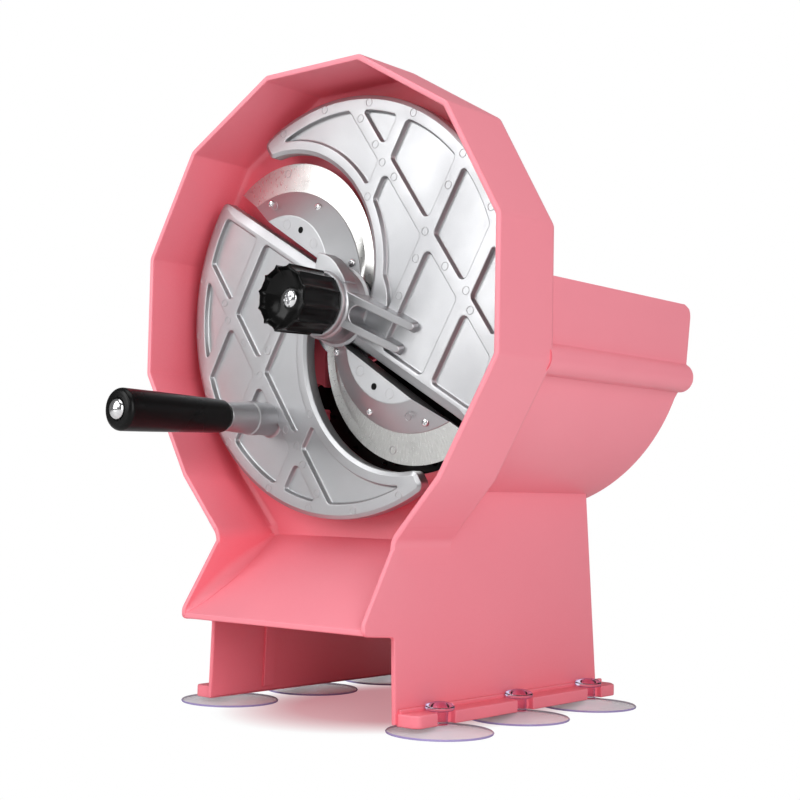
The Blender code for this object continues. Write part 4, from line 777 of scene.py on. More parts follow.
def feed_opening():
    """Outline of the feed opening in the back wall."""
    radius, hub, left, top = FEED_RADIUS, 0.031, -0.028, 0.006
    start = asin((top - FEED_CENTRE[1]) / radius)
    end = -acos((left - FEED_CENTRE[0]) / radius)
    below = arc(FEED_CENTRE, radius, start, end, 0.004)
    notch = arc(ORIGIN, hub, -acos(left / hub), asin(top / hub), 0.002)
    ear_top = EAR_CENTRE[1] + sqrt(0.009 ** 2 - (left - EAR_CENTRE[0]) ** 2)
    ear_low = EAR_CENTRE[1] - sqrt(0.009 ** 2 - (left - EAR_CENTRE[0]) ** 2)
    ear = arc(EAR_CENTRE, 0.009, turn_of((left, ear_low), EAR_CENTRE), turn_of((left, ear_top), EAR_CENTRE) - 2 * pi,
              0.0012)
    return filleted(spaced(below + ear + notch, 0.0004), 0.0008, least_turn=30.0)


def build_drum(work):
    """Drum shell with its lip, back wall, feed opening and shaft boss."""
    sizes = body_sizes()
    path = drum_path()
    depth, lip, wall = sizes.drum_depth, sizes.lip, sizes.wall
    back = depth - wall
    levels = [(0.0025, depth), (0.0010, depth - 0.0004), (0.0002, depth - 0.0014), (0.0, depth - 0.003),
              (0.0, 0.0014), (0.0003, 0.0005), (0.0010, 0.0), (lip - 0.0010, 0.0), (lip - 0.0003, 0.0004),
              (lip, 0.0014), (lip, back - 0.0045), (lip + 0.0009, back - 0.0018), (lip + 0.0026, back - 0.0004),
              (lip + 0.0050, back)]
    rings = [[front(x, z, y) for x, z in moved_out(path, -inset, closed=False)] for inset, y in levels]
    rows = loft(work, rings, closed=False)
    for i, side in ((0, 1), (-1, -1)):
        work.faces.new([row[i] for row in rows])
        bend = [row[i].co.copy() for row in rows[10:14]]
        behind = Vector((side * 0.0012, 0.0, 0.0))
        turns = [[*bend, bend[3] + Vector((0.0, 0.0008, 0.0)), bend[0] + behind + Vector((0.0, 0.0053, 0.0)),
                  bend[0] + behind]]
        for height in (-sizes.notch_drop - 0.003, -sizes.tray_top - 0.001):
            x = leg_outer(height) - wall
            turns.append([front(side * (x - inset), height, y) for inset, y in (
                (0.0, back - 0.0045), (0.0009, back - 0.0018), (0.0026, back - 0.0004), (0.005, back),
                (0.005, back + 0.0008), (-0.0012, back + 0.0008), (-0.0012, back - 0.0045))])
        ends = loft(work, turns)
        fill(work, [ends[0]])
        fill(work, [ends[-1]])
    opening = feed_opening()
    low = -sizes.notch_drop - 0.002
    half = leg_outer(low) - 0.0006
    for row, y in ((rows[0], depth), (rows[-1], back)):
        feet = [work.verts.new(front(-half, low, y)), work.verts.new(front(half, low, y))]
        hole = [work.verts.new(front(x, z, y)) for x, z in opening]
        bore = [work.verts.new(front(x, z, y)) for x, z in arc(ORIGIN, 0.0155, 0.0, 2 * pi, 0.004)[:-1]]
        fill(work, [row + feet, hole, bore])
    loft(work, [[front(x, z, y) for x, z in opening] for y in (back, depth)])
    loft(work, [[front(x, z, y) for x, z in moved_out(opening, out)]
                for out, y in ((0.0, depth - 0.0005), (0.0, depth + 0.0024), (0.0004, depth + 0.0027),
                               (0.0016, depth + 0.0027), (0.002, depth + 0.0024), (0.002, depth - 0.0005))])
    boss_end = back + 0.022
    revolve(work, rounded([(0.0094, back + 0.002), (0.0094, back - 0.0005), (0.018, back - 0.0005),
                           (0.018, boss_end), (0.0094, boss_end), (0.0094, back + 0.002)], 0.0008), 64)
    for number in range(3):
        rib = bmesh.new()
        slab(rib, [(0.0165, back), (0.032, back), (0.032, depth + 0.001), (0.0185, depth + 0.0125),
                   (0.0165, depth + 0.0125)], -0.0015, 0.0015, 0.0005, straight)
        joined(work, rib, Matrix.Rotation(-radians(45 + 60 * number), 4, "Y"))
        rib.free()
    build_drum_folds(work)


def build_drum_folds(work):
    """Rounded folds where the drum's walls run into the legs."""
    sizes = body_sizes()
    corner = Vector((sizes.notch_half, -sizes.notch_drop))
    facet = (Vector(polar(sizes.drum_radius, radians(-45))) - corner).normalized()
    down = Vector((sizes.leg_spread, -1.0)).normalized()
    bow = filleted([tuple(corner + facet * 0.012), tuple(corner), tuple(corner + down * 0.012)], 0.009, closed=False,
                   segments=16)
    proud = 0.00006
    depths = [sizes.lip + (sizes.wall - sizes.lip) * i / (len(bow) - 1) + proud for i in range(len(bow))]
    outline = moved_out(bow, -proud, closed=False) + moved_out(bow, depths, closed=False)[::-1]
    for side in (1, -1):
        slab(work, [(side * x, z) for x, z in outline], 0.0002, sizes.drum_depth - 0.0004, 0.0009)


def leg_place(side):
    """Placer for outlines of (depth, height) in a leg's plane, inwards from its outer face."""
    return lambda u, v, w: Vector((side * (leg_outer(v) - w), u, v))


def build_leg(work, side):
    """Leg panel with its cheek, stiffener, foot flange and the web under the trough."""
    sizes = body_sizes()
    bottom, depth = -sizes.leg_bottom, sizes.drum_depth
    reach = sizes.cheek_reach
    top = -0.1065 if side > 0 else -0.1015
    fold = -sizes.notch_drop - FOLD_REACH
    outline = [(0.0, fold), (-reach, -sizes.cheek_top), (-reach, -sizes.cheek_bottom),
               (0.0, -0.189), (0.0, bottom + 0.001), (sizes.leg_back, bottom + 0.001), (sizes.leg_back_top, top),
               (depth - 0.0015, top), (depth - 0.0015, fold)]
    radii = {1: 0.006, 2: 0.0035, 3: 0.002}
    outline = filleted(outline, lambda p: next((r for i, r in radii.items() if p == outline[i]), 0.0))
    outline = resampled(outline, 0.012)
    slab(work, outline, 0.0, sizes.wall, 0.0009, leg_place(side))
    slab(work, [(depth - 0.008, bottom + 0.004), (depth + 0.001, bottom + 0.004), (depth + 0.001, -0.160),
                (depth - 0.008, -0.168)], sizes.wall - 0.0005, sizes.wall + 0.0016, 0.0006, leg_place(side))
    flange = filleted(flange_outline(), lambda p: 0.0045 if p[0] > 0.08 and not 0.006 < p[1] < 0.19 else 0.0009,
                      least_turn=40.0)
    high = bottom + 0.007
    slab(work, [(side * x, y) for x, y in flange], bottom, high, 0.0008, straight)
    inner = leg_outer(bottom) - 0.0005
    slab(work, [(side * inner, 0.0025), (side * (inner + 0.0022), 0.0025), (side * (inner + 0.0022), 0.2035),
                (side * inner, 0.2035)], bottom, high + 0.0022, 0.0007, straight)
    if side < 0:
        outer = leg_outer(top)
        slab(work, [(-outer + 0.0005, depth - 0.001), (-outer + 0.0265, depth - 0.001), (-outer + 0.0265, 0.193),
                    (-outer + 0.0005, 0.193)], top - 0.003, top, 0.0008, straight)


def flange_outline():
    """Foot flange from above, with a stepped slot for each cup."""
    inner = leg_outer(-body_sizes().leg_bottom) - 0.0012
    outer, neck, line, mouth = 0.0886, 0.0051, CUP_LINE, 0.0155
    points = [(inner, 0.0017), (outer - 0.003, 0.0017), (outer, 0.0047)]
    for number in range(3):
        middle = FIRST_CUP + number * disc_sizes().cup_pitch
        points += [(outer, middle - mouth / 2), (outer - 0.004, middle - mouth / 2), (outer - 0.004, middle - neck),
                   (line - neck, middle - neck), (line - neck, middle + neck), (outer - 0.004, middle + neck),
                   (outer - 0.004, middle + mouth / 2), (outer, middle + mouth / 2)]
    return points + [(outer, 0.199), (outer - 0.006, 0.205), (inner, 0.205)]


def build_tray(work):
    """Sloped tray with its thick front lip."""
    sizes = body_sizes()
    back, front_y = sizes.drum_depth - 0.001, -sizes.cheek_reach
    slope = (sizes.tray_top - sizes.tray_lip) / (back + sizes.cheek_reach)
    below = sizes.wall * sqrt(1 + slope * slope)
    heel = front_y + 0.004
    outline = [(back, -sizes.tray_top), (front_y + 0.0006, -sizes.tray_lip), (front_y + 0.0006, -0.1868),
               (heel, -0.1868), (heel + 0.004, -sizes.tray_lip - slope * 0.008 - below + 0.001),
               (back, -sizes.tray_top - below)]
    outline = filleted(outline, 0.0009)
    half = [leg_outer(v) - sizes.wall / 2 for u, v in outline]
    rows = loft(work, [[Vector((sign * h, u, v)) for (u, v), h in zip(outline, half)] for sign in (-1, 1)])
    for row in rows:
        fill(work, [row])
    for side in (-1, 1):
        rings = []
        for t, bow in ((0.0, 0.001), (0.15, 0.0034), (0.35, 0.0066), (0.6, 0.008), (0.85, 0.006), (1.0, 0.0015)):
            y = back - 0.0005 + (front_y + 0.0015 - back) * t
            z = -sizes.tray_top + slope * (back - y)
            section = []
            for a in quarter(10):
                height = z + bow * (1 - sin(a))
                section.append((leg_outer(height) - sizes.wall - bow * (1 - cos(a)), height))
            section = [(section[0][0] + 0.0012, section[0][1]), *section, (section[-1][0], z - 0.0008),
                       (section[0][0] + 0.0012, z - 0.0008)]
            rings.append([Vector((side * x, y, h)) for x, h in section])
        rows = loft(work, rings)
        for row in (rows[0], rows[-1]):
            fill(work, [row])


def trough_path():
    """Outside of the trough from the left wall's top to the right wall's top."""
    sizes = body_sizes()
    bead = arc(BEAD_CENTRE, sizes.bead_radius, radians(-100), radians(62), 0.0012)
    right = asin((bead[0][1] - FLOOR_CENTRE[1]) / sizes.floor_radius) - radians(2)
    left = -acos((sizes.trough_left - FLOOR_CENTRE[0]) / sizes.floor_radius)
    floor = arc(FLOOR_CENTRE, sizes.floor_radius, left, right, 0.004)
    waist = (sizes.trough_waist, bead[-1][1])
    path = [(sizes.trough_left, sizes.trough_top), *floor, *bead[:-1], waist, (sizes.trough_right, sizes.trough_top)]
    path = filleted(path, 0.0022, closed=False, least_turn=25.0)
    return resampled(path, 0.0022, closed=False)


def build_trough(work):
    """Feed trough with its bead and its rounded rear corners."""
    sizes = body_sizes()
    path = trough_path()
    end = sizes.drum_depth + 0.0003 + sizes.trough_length
    corner = 0.008
    ends = []
    for x, z in path:
        drop = min(corner, sizes.trough_top - z)
        ends.append(end - (corner - sqrt(max(0.0, corner ** 2 - (corner - drop) ** 2))))
    inner = moved_out(path, -sizes.wall, closed=False)
    start = sizes.drum_depth - 0.0036
    rings = [[front(x, z, start) for x, z in path],
             [front(x, z, y) for (x, z), y in zip(path, ends)],
             [front(x, z, y) for (x, z), y in zip(inner, ends)],
             [front(x, z, start) for x, z in inner]]
    rows = loft(work, rings, closed=False)
    bridge(work, [rows[-1], rows[0]], closed=False)
    for i in (0, -1):
        work.faces.new([row[i] for row in rows])


class SLICER_OT_moulded_body(bpy.types.Operator):
    """Build the pink body: drum, back wall, legs, tray and feed trough"""
    bl_idname = "slicer.moulded_body"
    bl_label = "Moulded body"

    def execute(self, context):
        pink = pink_plastic()
        for name, node, build, edge in (
                ("drum_moulding", "drum_housing", build_drum, 0.0),
                ("right_leg_moulding", "right_leg", lambda work: build_leg(work, 1), 0.0),
                ("left_leg_moulding", "left_leg", lambda work: build_leg(work, -1), 0.0),
                ("tray_moulding", "discharge_tray", build_tray, 0.0),
                ("trough_moulding", "feed_trough", build_trough, 0.0008)):
            moulded(name, build, pink, "housing", [node], "pink_plastic", edge=edge)
        return {"FINISHED"}


# Wing plate

def edge_directions():
    """Direction along the wings' straight edges and its normal."""
    turn = disc_sizes().edge_angle
    return Vector((cos(turn), sin(turn))), Vector((-sin(turn), cos(turn)))


def edge_point(offset, radius):
    """Point at a radius on the line along the straight edge at an offset."""
    along, normal = edge_directions()
    run = sqrt(radius ** 2 - offset ** 2)
    return tuple(along * run + normal * offset)


def half_wing():
    """Outline of one wing from the hub along its hollow edge, the rim and back along its straight edge."""
    sizes = disc_sizes()
    radius, offset = sizes.wing_radius, sizes.edge_offset
    tip_turn = radians(122)
    start = circles_meet(ORIGIN, sizes.collar_radius + 0.001, SWEEP_CENTRE, sizes.sweep_radius, -1)
    reach = hypot(*SWEEP_CENTRE)
    along = reach * cos(tip_turn - turn_of(SWEEP_CENTRE))
    tip_inner = polar(along + sqrt(along ** 2 - reach ** 2 + sizes.sweep_radius ** 2), tip_turn)
    corner = edge_point(-offset, radius)
    hub_end = edge_point(-offset, sizes.collar_radius - 0.001)
    sweep = arc(SWEEP_CENTRE, sizes.sweep_radius, turn_of(start, SWEEP_CENTRE), turn_of(tip_inner, SWEEP_CENTRE))
    rim = arc(ORIGIN, radius, tip_turn, turn_of(corner))
    hub = arc(ORIGIN, sizes.collar_radius - 0.001, turn_of(hub_end), turn_of(start) - pi)
    return sweep + rim + [hub_end] + hub[1:-1], (tip_inner, rim[0], corner)


def wing_outline():
    """Outline of the whole plate and the width of its sloped edge at each point."""
    sizes = disc_sizes()
    half, (tip_inner, tip_outer, corner) = half_wing()
    half = spaced(half, 0.0005)

    def radius(point):
        for place, size in ((tip_inner, 0.0042), (tip_outer, 0.0042), (corner, 0.006)):
            if hypot(point[0] - place[0], point[1] - place[1]) < 0.0012:
                return size
        return 0.0

    # The arcs next to a rounded corner are thinned so that its tangents have room
    thinned = [p for p in half if radius(p) or all(hypot(p[0] - c[0], p[1] - c[1]) > 0.008
                                                     for c in (tip_inner, tip_outer, corner))]
    half = resampled(filleted(thinned, radius), 0.002)
    half.pop()
    outline = spaced(half + [turn_point(p, pi) for p in half], 0.0003)
    normal = edge_directions()[1]
    widths = []
    for x, z in outline:
        away = abs(abs(x * normal[0] + z * normal[1]) - sizes.edge_offset)
        near_edge = max(0.0, 1 - away / 0.0012)
        inside = min(1.0, max(0.0, (sizes.wing_radius - 0.006 - hypot(x, z)) / 0.006))
        widths.append(near_edge * inside)
    for _ in range(4):
        widths = [(widths[i - 1] + 2 * widths[i] + widths[(i + 1) % len(widths)]) / 4 for i in range(len(widths))]
    return outline, widths


def pocket_area():
    """Area of the upper wing inside its rims."""
    sizes = disc_sizes()
    outer = sizes.wing_radius - 0.009
    sweep = sizes.sweep_radius + 0.008
    edge = -(sizes.edge_offset - 0.008)
    hub = 0.038
    tip = circles_meet(ORIGIN, outer, SWEEP_CENTRE, sweep, -1)
    corner = edge_point(edge, outer)
    hub_low = edge_point(edge, hub)
    hub_high = circles_meet(ORIGIN, hub, SWEEP_CENTRE, sweep, -1)
    rim = arc(ORIGIN, outer, turn_of(tip), turn_of(corner))
    inner = arc(ORIGIN, hub, turn_of(hub_low), turn_of(hub_high))
    return rim + inner + arc(SWEEP_CENTRE, sweep, turn_of(hub_high, SWEEP_CENTRE), turn_of(tip, SWEEP_CENTRE))[1:-1]


def pocket_outlines():
    """Outlines of the pockets between the ribs of the upper wing."""
    half = disc_sizes().rib_width / 2
    long_turn = radians(LONG_RIB[0]) + pi / 2
    cross_turn = radians(CROSS_RIBS[0]) - pi / 2
    edges = [-1.0, *CROSS_RIBS[1], 1.0]
    cells = []
    for side in (-1, 1):
        strip = clipped(pocket_area(), long_turn, LONG_RIB[1] + side * half, side)
        for low, high in zip(edges, edges[1:]):
            cell = clipped(clipped(strip, cross_turn, low + half, 1), cross_turn, high - half, -1)
            cells.append(cell)
    return cells


def pocket_rings(cell):
    """Pocket outline ready for offsets: corners rounded and points evenly spread."""
    size = disc_sizes().pocket_round
    cell = spaced(cell, 0.0007)
    corners = []
    count = len(cell)
    for i, point in enumerate(cell):
        a = Vector(cell[i - 1]) - Vector(point)
        b = Vector(cell[(i + 1) % count]) - Vector(point)
        if pi - a.angle(b) > radians(24):
            corners.append(point)
    room = size * 1.7
    kept = [p for p in cell if p in corners or all(hypot(p[0] - c[0], p[1] - c[1]) > room for c in corners)]
    return resampled(filleted(kept, size, least_turn=14.0, segments=8), 0.0016)


def build_wing(work):
    """Cast plate of two wings with rounded rims and drafted pockets."""
    sizes = disc_sizes()
    near, far = sizes.wing_front, sizes.wing_front + sizes.wing_depth
    depth = sizes.wing_depth - sizes.wing_floor
    outline, slopes = wing_outline()
    bevel, drop = 0.0026, 0.0012
    rings = []
    for inset, fall in ((1.0, 0.0), (0.93, 0.02), (0.14, 0.76), (0.05, 0.90), (0.0, 1.15)):
        moved = moved_out(outline, [-inset * (bevel + s * (sizes.edge_slope - bevel)) for s in slopes])
        rings.append([front(x, z, near + fall * (drop + s * 0.0009)) for (x, z), s in zip(moved, slopes)])
    for inset, y in ((0.0, far - 0.0008), (0.0003, far - 0.0002), (0.0008, far)):
        rings.append([front(x, z, y) for x, z in moved_out(outline, -inset)])
    rows = loft(work, rings)
    front_loops = [rows[0]]
    wall = [(0.0008, 0.0), (0.0003, 0.0001), (0.0, 0.0004), (-0.0005, depth - 0.0007), (-0.0008, depth - 0.0002),
            (-0.0013, depth)]
    for turn in (0.0, pi):
        for cell in pocket_outlines():
            loop = [turn_point(p, turn) for p in pocket_rings(cell)]
            pocket = loft(work, [[front(x, z, near + drop) for x, z in moved_out(loop, out)] for out, drop in wall])
            front_loops.append(pocket[0])
            fill(work, [[work.verts.new(front(x, z, near + depth)) for x, z in moved_out(loop, -0.0004)]])
    fill(work, front_loops)
    fill(work, [rows[-1]])


def build_ejector_marks(work):
    """Faint rings that the mould's ejector pins leave on the rims and ribs."""
    sizes = disc_sizes()
    y = sizes.wing_front
    places = [polar(sizes.wing_radius - 0.0046, radians(a)) for a in (114, 97, 80, 63, 41, 23, 5, -12, -29)]
    along = Vector((cos(radians(-55)), sin(radians(-55))))
    normal = Vector((-along.y, along.x))
    places += [tuple(normal * LONG_RIB[1] + along * run) for run in (-0.083, -0.062, -0.036, 0.006, 0.032, 0.064)]
    cross = Vector((cos(radians(60)), sin(radians(60))))
    side = Vector((cross.y, -cross.x))
    for offset, runs in zip(CROSS_RIBS[1], ((0.066, 0.088), (0.026, 0.050, 0.096), (-0.052, -0.030, 0.050))):
        places += [tuple(side * offset + cross * run) for run in runs]
    for turn in (0.0, pi):
        for place in places:
            centre = turn_point(place, turn)
            revolve(work, [(0.0021, y + 0.0002), (0.00214, y - 0.00012), (0.0023, y - 0.0002),
                           (0.00246, y - 0.00012), (0.0025, y + 0.0002)], 28, centre)


def build_hub(work):
    """Hub collar with its ring round the knob's neck, and the block that runs round its foot."""
    sizes = disc_sizes()
    radius, nose = sizes.collar_radius, sizes.collar_front
    root = sizes.wing_front + 0.001
    revolve(work, rounded([(SHAFT_BORE, 0.0197), (SHAFT_BORE, 0.0174), (0.0159, 0.0174), (0.0159, nose + 0.0004),
                           (0.0163, nose), (0.0184, nose), (0.0193, nose + 0.0005), (0.0197, nose + 0.0015),
                           (0.0198, nose + 0.0032), (radius - 0.0006, nose + 0.0042),
                           (radius - 0.0001, nose + 0.0056),
                           (radius, root - 0.0052), (radius + 0.0012, root - 0.0016), (radius + 0.0044, root),
                           (0.0108, root), (0.0108, 0.0197)], 0.0006), 96)
    block = [(0.0186, 0.0112), (0.0162, 0.0158), (0.0135, 0.0195), (0.0102, 0.0236), (0.0063, 0.0270),
             (0.0012, 0.0297), (-0.0044, 0.0312), *arc(ORIGIN, 0.0190, radians(112), radians(34))]
    block = resampled(filleted(block, 0.0018, least_turn=40.0), 0.0015)
    slab(work, block, 0.0140, 0.0242, 0.0007)


def build_fork(work):
    """Fork that runs out from the collar over the upper wing, with its round root."""
    sizes = disc_sizes()
    turn = radians(-27)
    start, fall = 0.0185, 0.0132
    foot = sizes.wing_front + sizes.wing_depth - sizes.wing_floor + 0.0004
    edge = 0.0008
    for offset, end in ((0.0122, 0.0600), (-0.0036, 0.0562)):
        tine = bmesh.new()
        nose = 0.0024 / (end - start)
        steps = [(1 - nose) * i / 20 for i in range(21)]
        steps += [1 - nose + nose * sin(a) for a in quarter(7, 1)]
        rows = []
        for t in steps:
            x = start + (end - start) * t
            round_off = max(0.0, (t - 1 + nose) / nose)
            crest = 0.0142 + fall * t ** 1.08 + 0.0004 * round_off ** 2
            half = (0.0025 - 0.0001 * t) * sqrt(max(0.02, 1 - round_off ** 2))
            lip = min(edge, half * 0.6)
            section = [(-half - 0.0012, foot), (-half - 0.0004, foot - 0.003), (-half, crest + lip),
                       (-half + lip * 0.3, crest + lip * 0.3), (-half + lip, crest), (half - lip, crest),
                       (half - lip * 0.3, crest + lip * 0.3), (half, crest + lip),
                       (half + 0.0004, foot - 0.003), (half + 0.0012, foot)]
            rows.append([Vector((x, y, offset + w)) for w, y in section])
        grid = loft(tine, rows, closed=False)
        for row in (grid[0], grid[-1]):
            tine.faces.new(row)
        joined(work, tine, Matrix.Rotation(-turn, 4, "Y"))
        tine.free()
    root_block = bmesh.new()
    hollow, middle = 0.0057, 0.0043
    bow = [(0.0140, -0.0058), (0.0272, -0.0058), *[(0.0272 - hollow * cos(a), middle + hollow * sin(a))
                                                   for a in [pi / 2 * (k / 8 - 1) for k in range(17)]],
           (0.0272, 0.0144), (0.0140, 0.0144)]
    slab(root_block, bow, 0.0144, foot, 0.0006)
    for vertex in root_block.verts:
        if vertex.co.y < 0.020:
            vertex.co.y += fall * (max(0.0, vertex.co.x - start) / 0.0415) ** 1.08
    joined(work, root_block, Matrix.Rotation(-turn, 4, "Y"))
    root_block.free()


def build_crank_boss(work):
    """Boss on the lower wing that carries the crank's sleeve."""
    sizes = disc_sizes()
    floor = sizes.wing_front + sizes.wing_depth - sizes.wing_floor + 0.0004
    ring_front, ring_back, radius = 0.0131, 0.0190, 0.0104
    profile = [(0.0, ring_front), (radius - 0.0008, ring_front), (radius, ring_front + 0.0006), (radius, ring_back),
               (radius - 0.0003, ring_back + 0.0003), (radius - 0.0004, floor - 0.0030)]
    profile += [(radius - 0.0004 + 0.0030 * (1 - cos(a)), floor - 0.0030 + 0.0030 * sin(a))
                for a in quarter(6, 1)]
    profile.append((0.0, floor))
    revolve(work, profile, 72, (CRANK_AXIS.x, CRANK_AXIS.z))


class SLICER_OT_wing_plate(bpy.types.Operator):
    """Build the cast front disc: ribbed wings, hub collar, fork and crank boss"""
    bl_idname = "slicer.wing_plate"
    bl_label = "Wing plate"

    def execute(self, context):
        work = bmesh.new()
        for build in (build_wing, build_ejector_marks, build_hub, build_fork, build_crank_boss):
            build(work)
        finish("wing_casting", work, cast_metal(), "wings", ["wing_plate"], "cast_aluminium", sharp=17.0)
        return {"FINISHED"}


# Blade carrier, blades and spindle

def cut_lobe(work):
    """Cut a lobe off along its straight end and close it."""
    sizes = disc_sizes()
    normal = (-sin(sizes.lobe_angle), cos(sizes.lobe_angle))
    origin = Vector((normal[0] * sizes.lobe_offset, 0.0, normal[1] * sizes.lobe_offset))
    geometry = work.verts[:] + work.edges[:] + work.faces[:]
    cut = bmesh.ops.bisect_plane(work, geom=geometry, plane_co=origin, plane_no=(-normal[0], 0.0, -normal[1]),
                                 clear_outer=True)
    rim = [item for item in cut["geom_cut"] if isinstance(item, bmesh.types.BMEdge)]
    bmesh.ops.holes_fill(work, edges=rim, sides=0)


def slope_circle(part):
    """Circle on the carrier's sloped band, from the lens at 0 to the band's edge at 1."""
    sizes = disc_sizes()
    centre = tuple(a + (b - a) * part for a, b in zip(LENS_CENTRE, BAND_CENTRE))
    return (centre, sizes.lens_radius + (sizes.band_radius - sizes.lens_radius) * part,
            sizes.lens_front + (sizes.band_back - sizes.lens_front) * part)


class SLICER_OT_blade_carrier(bpy.types.Operator):
    """Build the cast carrier behind the wings, with its sloped bands, lenses and drive disc"""
    bl_idname = "slicer.blade_carrier"
    bl_label = "Blade carrier"

    def execute(self, context):
        sizes = disc_sizes()
        lens, radius, back = sizes.lens_front, sizes.band_radius, sizes.blade_back
        circles = [(LENS_CENTRE, 0.0, lens), (LENS_CENTRE, sizes.lens_radius * 0.5, lens),
                   (LENS_CENTRE, sizes.lens_radius - 0.0004, lens), slope_circle(0.012)]
        circles += [slope_circle(part) for part in (0.25, 0.5, 0.75, 0.985)]
        circles += [(BAND_CENTRE, radius, sizes.band_back + 0.0001), (BAND_CENTRE, radius, back - 0.0018),
                    (BAND_CENTRE, 0.0, back - 0.0018)]
        lobe = bmesh.new()
        leaning(lobe, circles, 160)
        cut_lobe(lobe)
        y = lens
        for place in ((-0.020, 0.0395), (-0.043, 0.0536)):
            revolve(lobe, [(0.0028, y + 0.0003), (0.00283, y - 0.00008), (0.003, y - 0.00013), (0.00317, y - 0.00008),
                           (0.0032, y + 0.0003)], 32, place)
        work = bmesh.new()
        joined(work, lobe)
        joined(work, lobe, HALF_TURN)
        lobe.free()
        disc = back + 0.0003
        revolve(work, rounded([(SHAFT_BORE, 0.032), (0.0112, 0.032), (0.0112, disc), (0.032, disc),
                               (0.032, disc + 0.0037), (SHAFT_BORE, disc + 0.0037), (SHAFT_BORE, 0.032)], 0.0006), 96)
        finish("carrier_casting", work, cast_metal(), "spindle", ["blade_carrier"], "cast_aluminium", edge=0.0005,
               sharp=9.0)
        # Painted shade: flat black discs on the lenses stand for the dark inside their two holes
        hole = bmesh.new()
        for turn in (0.0, pi):
            centre = turn_point((-0.031, 0.049), turn)
            revolve(hole, [(0.0, lens - 0.00005), (0.0019, lens - 0.00005), (0.00205, lens - 0.0001),
                           (0.0021, lens + 0.0004)], 32, centre)
        finish("lens_hole_shade", hole, black_plastic("hole_shadow", 0.7, 0.9), "spindle", (), "black_plastic")
        return {"FINISHED"}


class SLICER_OT_blades(bpy.types.Operator):
    """Build the two sickle blades with their ground bevels"""
    bl_idname = "slicer.blades"
    bl_label = "Sickle blades"

    def execute(self, context):
        sizes = disc_sizes()
        back, radius, band = sizes.blade_back, sizes.blade_radius, sizes.band_radius
        inner = (BAND_CENTRE, band - 0.005, sizes.band_back + 0.0005)
        circles = [inner, (BAND_CENTRE, band, sizes.band_back + 0.0007),
                   (BEVEL_CENTRE, sizes.bevel_radius, back - 0.0007), (BLADE_CENTRE, radius, back - 0.0001),
                   (BLADE_CENTRE, radius, back + 0.0001), (BAND_CENTRE, band - 0.005, back + 0.0001), inner]
        for name, turn in (("upper", 0.0), ("lower", pi)):
            ring = bmesh.new()
            leaning(ring, circles, 200)
            bmesh.ops.remove_doubles(ring, verts=ring.verts, dist=1e-7)
            cut_lobe(ring)
            work = bmesh.new()
            joined(work, ring, HALF_TURN if turn else Matrix.Identity(4))
            ring.free()
            steel = ground_steel(name + "_blade_steel", turn_point(BLADE_CENTRE, turn))
            finish(name + "_sickle", work, steel, "spindle", [name + "_blade"], "blade_steel", sharp=6.0)
        return {"FINISHED"}


class SLICER_OT_blade_screws(bpy.types.Operator):
    """Build the six blade screws with their cross recesses"""
    bl_idname = "slicer.blade_screws"
    bl_label = "Blade screws"

    def execute(self, context):
        for name, turn in (("upper", 0.0), ("lower", pi)):
            for number, (x, z, seat) in enumerate(BLADE_SCREWS):
                work = bmesh.new()
                build_cross_head(work, turn_point((x, z), turn), 0.0025, seat, 0.0013, 0.5 + number)
                node = "%s_blade_screw_%d" % (name, number + 1)
                finish(node + "_head", work, bright_metal(), "spindle", [node], "bright_steel", sharp=40.0)
        return {"FINISHED"}


def build_cross_head(work, centre, radius, seat, rise, twist):
    """Domed screw head with a cross recess, its crown facing the front."""
    rings, count = 14, 64
    arm, width, deep = radius * 0.56, radius * 0.13, rise * 0.75
    rows = []
    for ring in range(rings + 1):
        t = ring / rings
        row = []
        for i in range(count):
            way = 2 * pi * i / count
            x, z = radius * t * cos(way), radius * t * sin(way)
            y = seat - rise * sqrt(max(0.0, 1 - (0.985 * t) ** 2))
            local = (x * cos(twist) + z * sin(twist), -x * sin(twist) + z * cos(twist))
            reach = max(abs(local[0]), abs(local[1]))
            side = min(abs(local[0]), abs(local[1]))
            inside = max(0.0, min(1.0, (width - side) / (width * 0.45) + 0.5))
            inside *= max(0.0, min(1.0, (arm - reach) / (arm * 0.18)))
            row.append(front(centre[0] + x, centre[1] + z, y + deep * inside))
        rows.append(row)
    middle = rows.pop(0)[0]
    grid = loft(work, rows)
    apex = work.verts.new(middle)
    for i in range(count):
        work.faces.new((apex, grid[0][i], grid[0][(i + 1) % count]))
    rim = loft(work, [[v.co.copy() for v in grid[-1]],
                      [front(*polar(radius, 2 * pi * i / count, centre), seat + 0.0016) for i in range(count)]])
    work.faces.new(rim[-1])


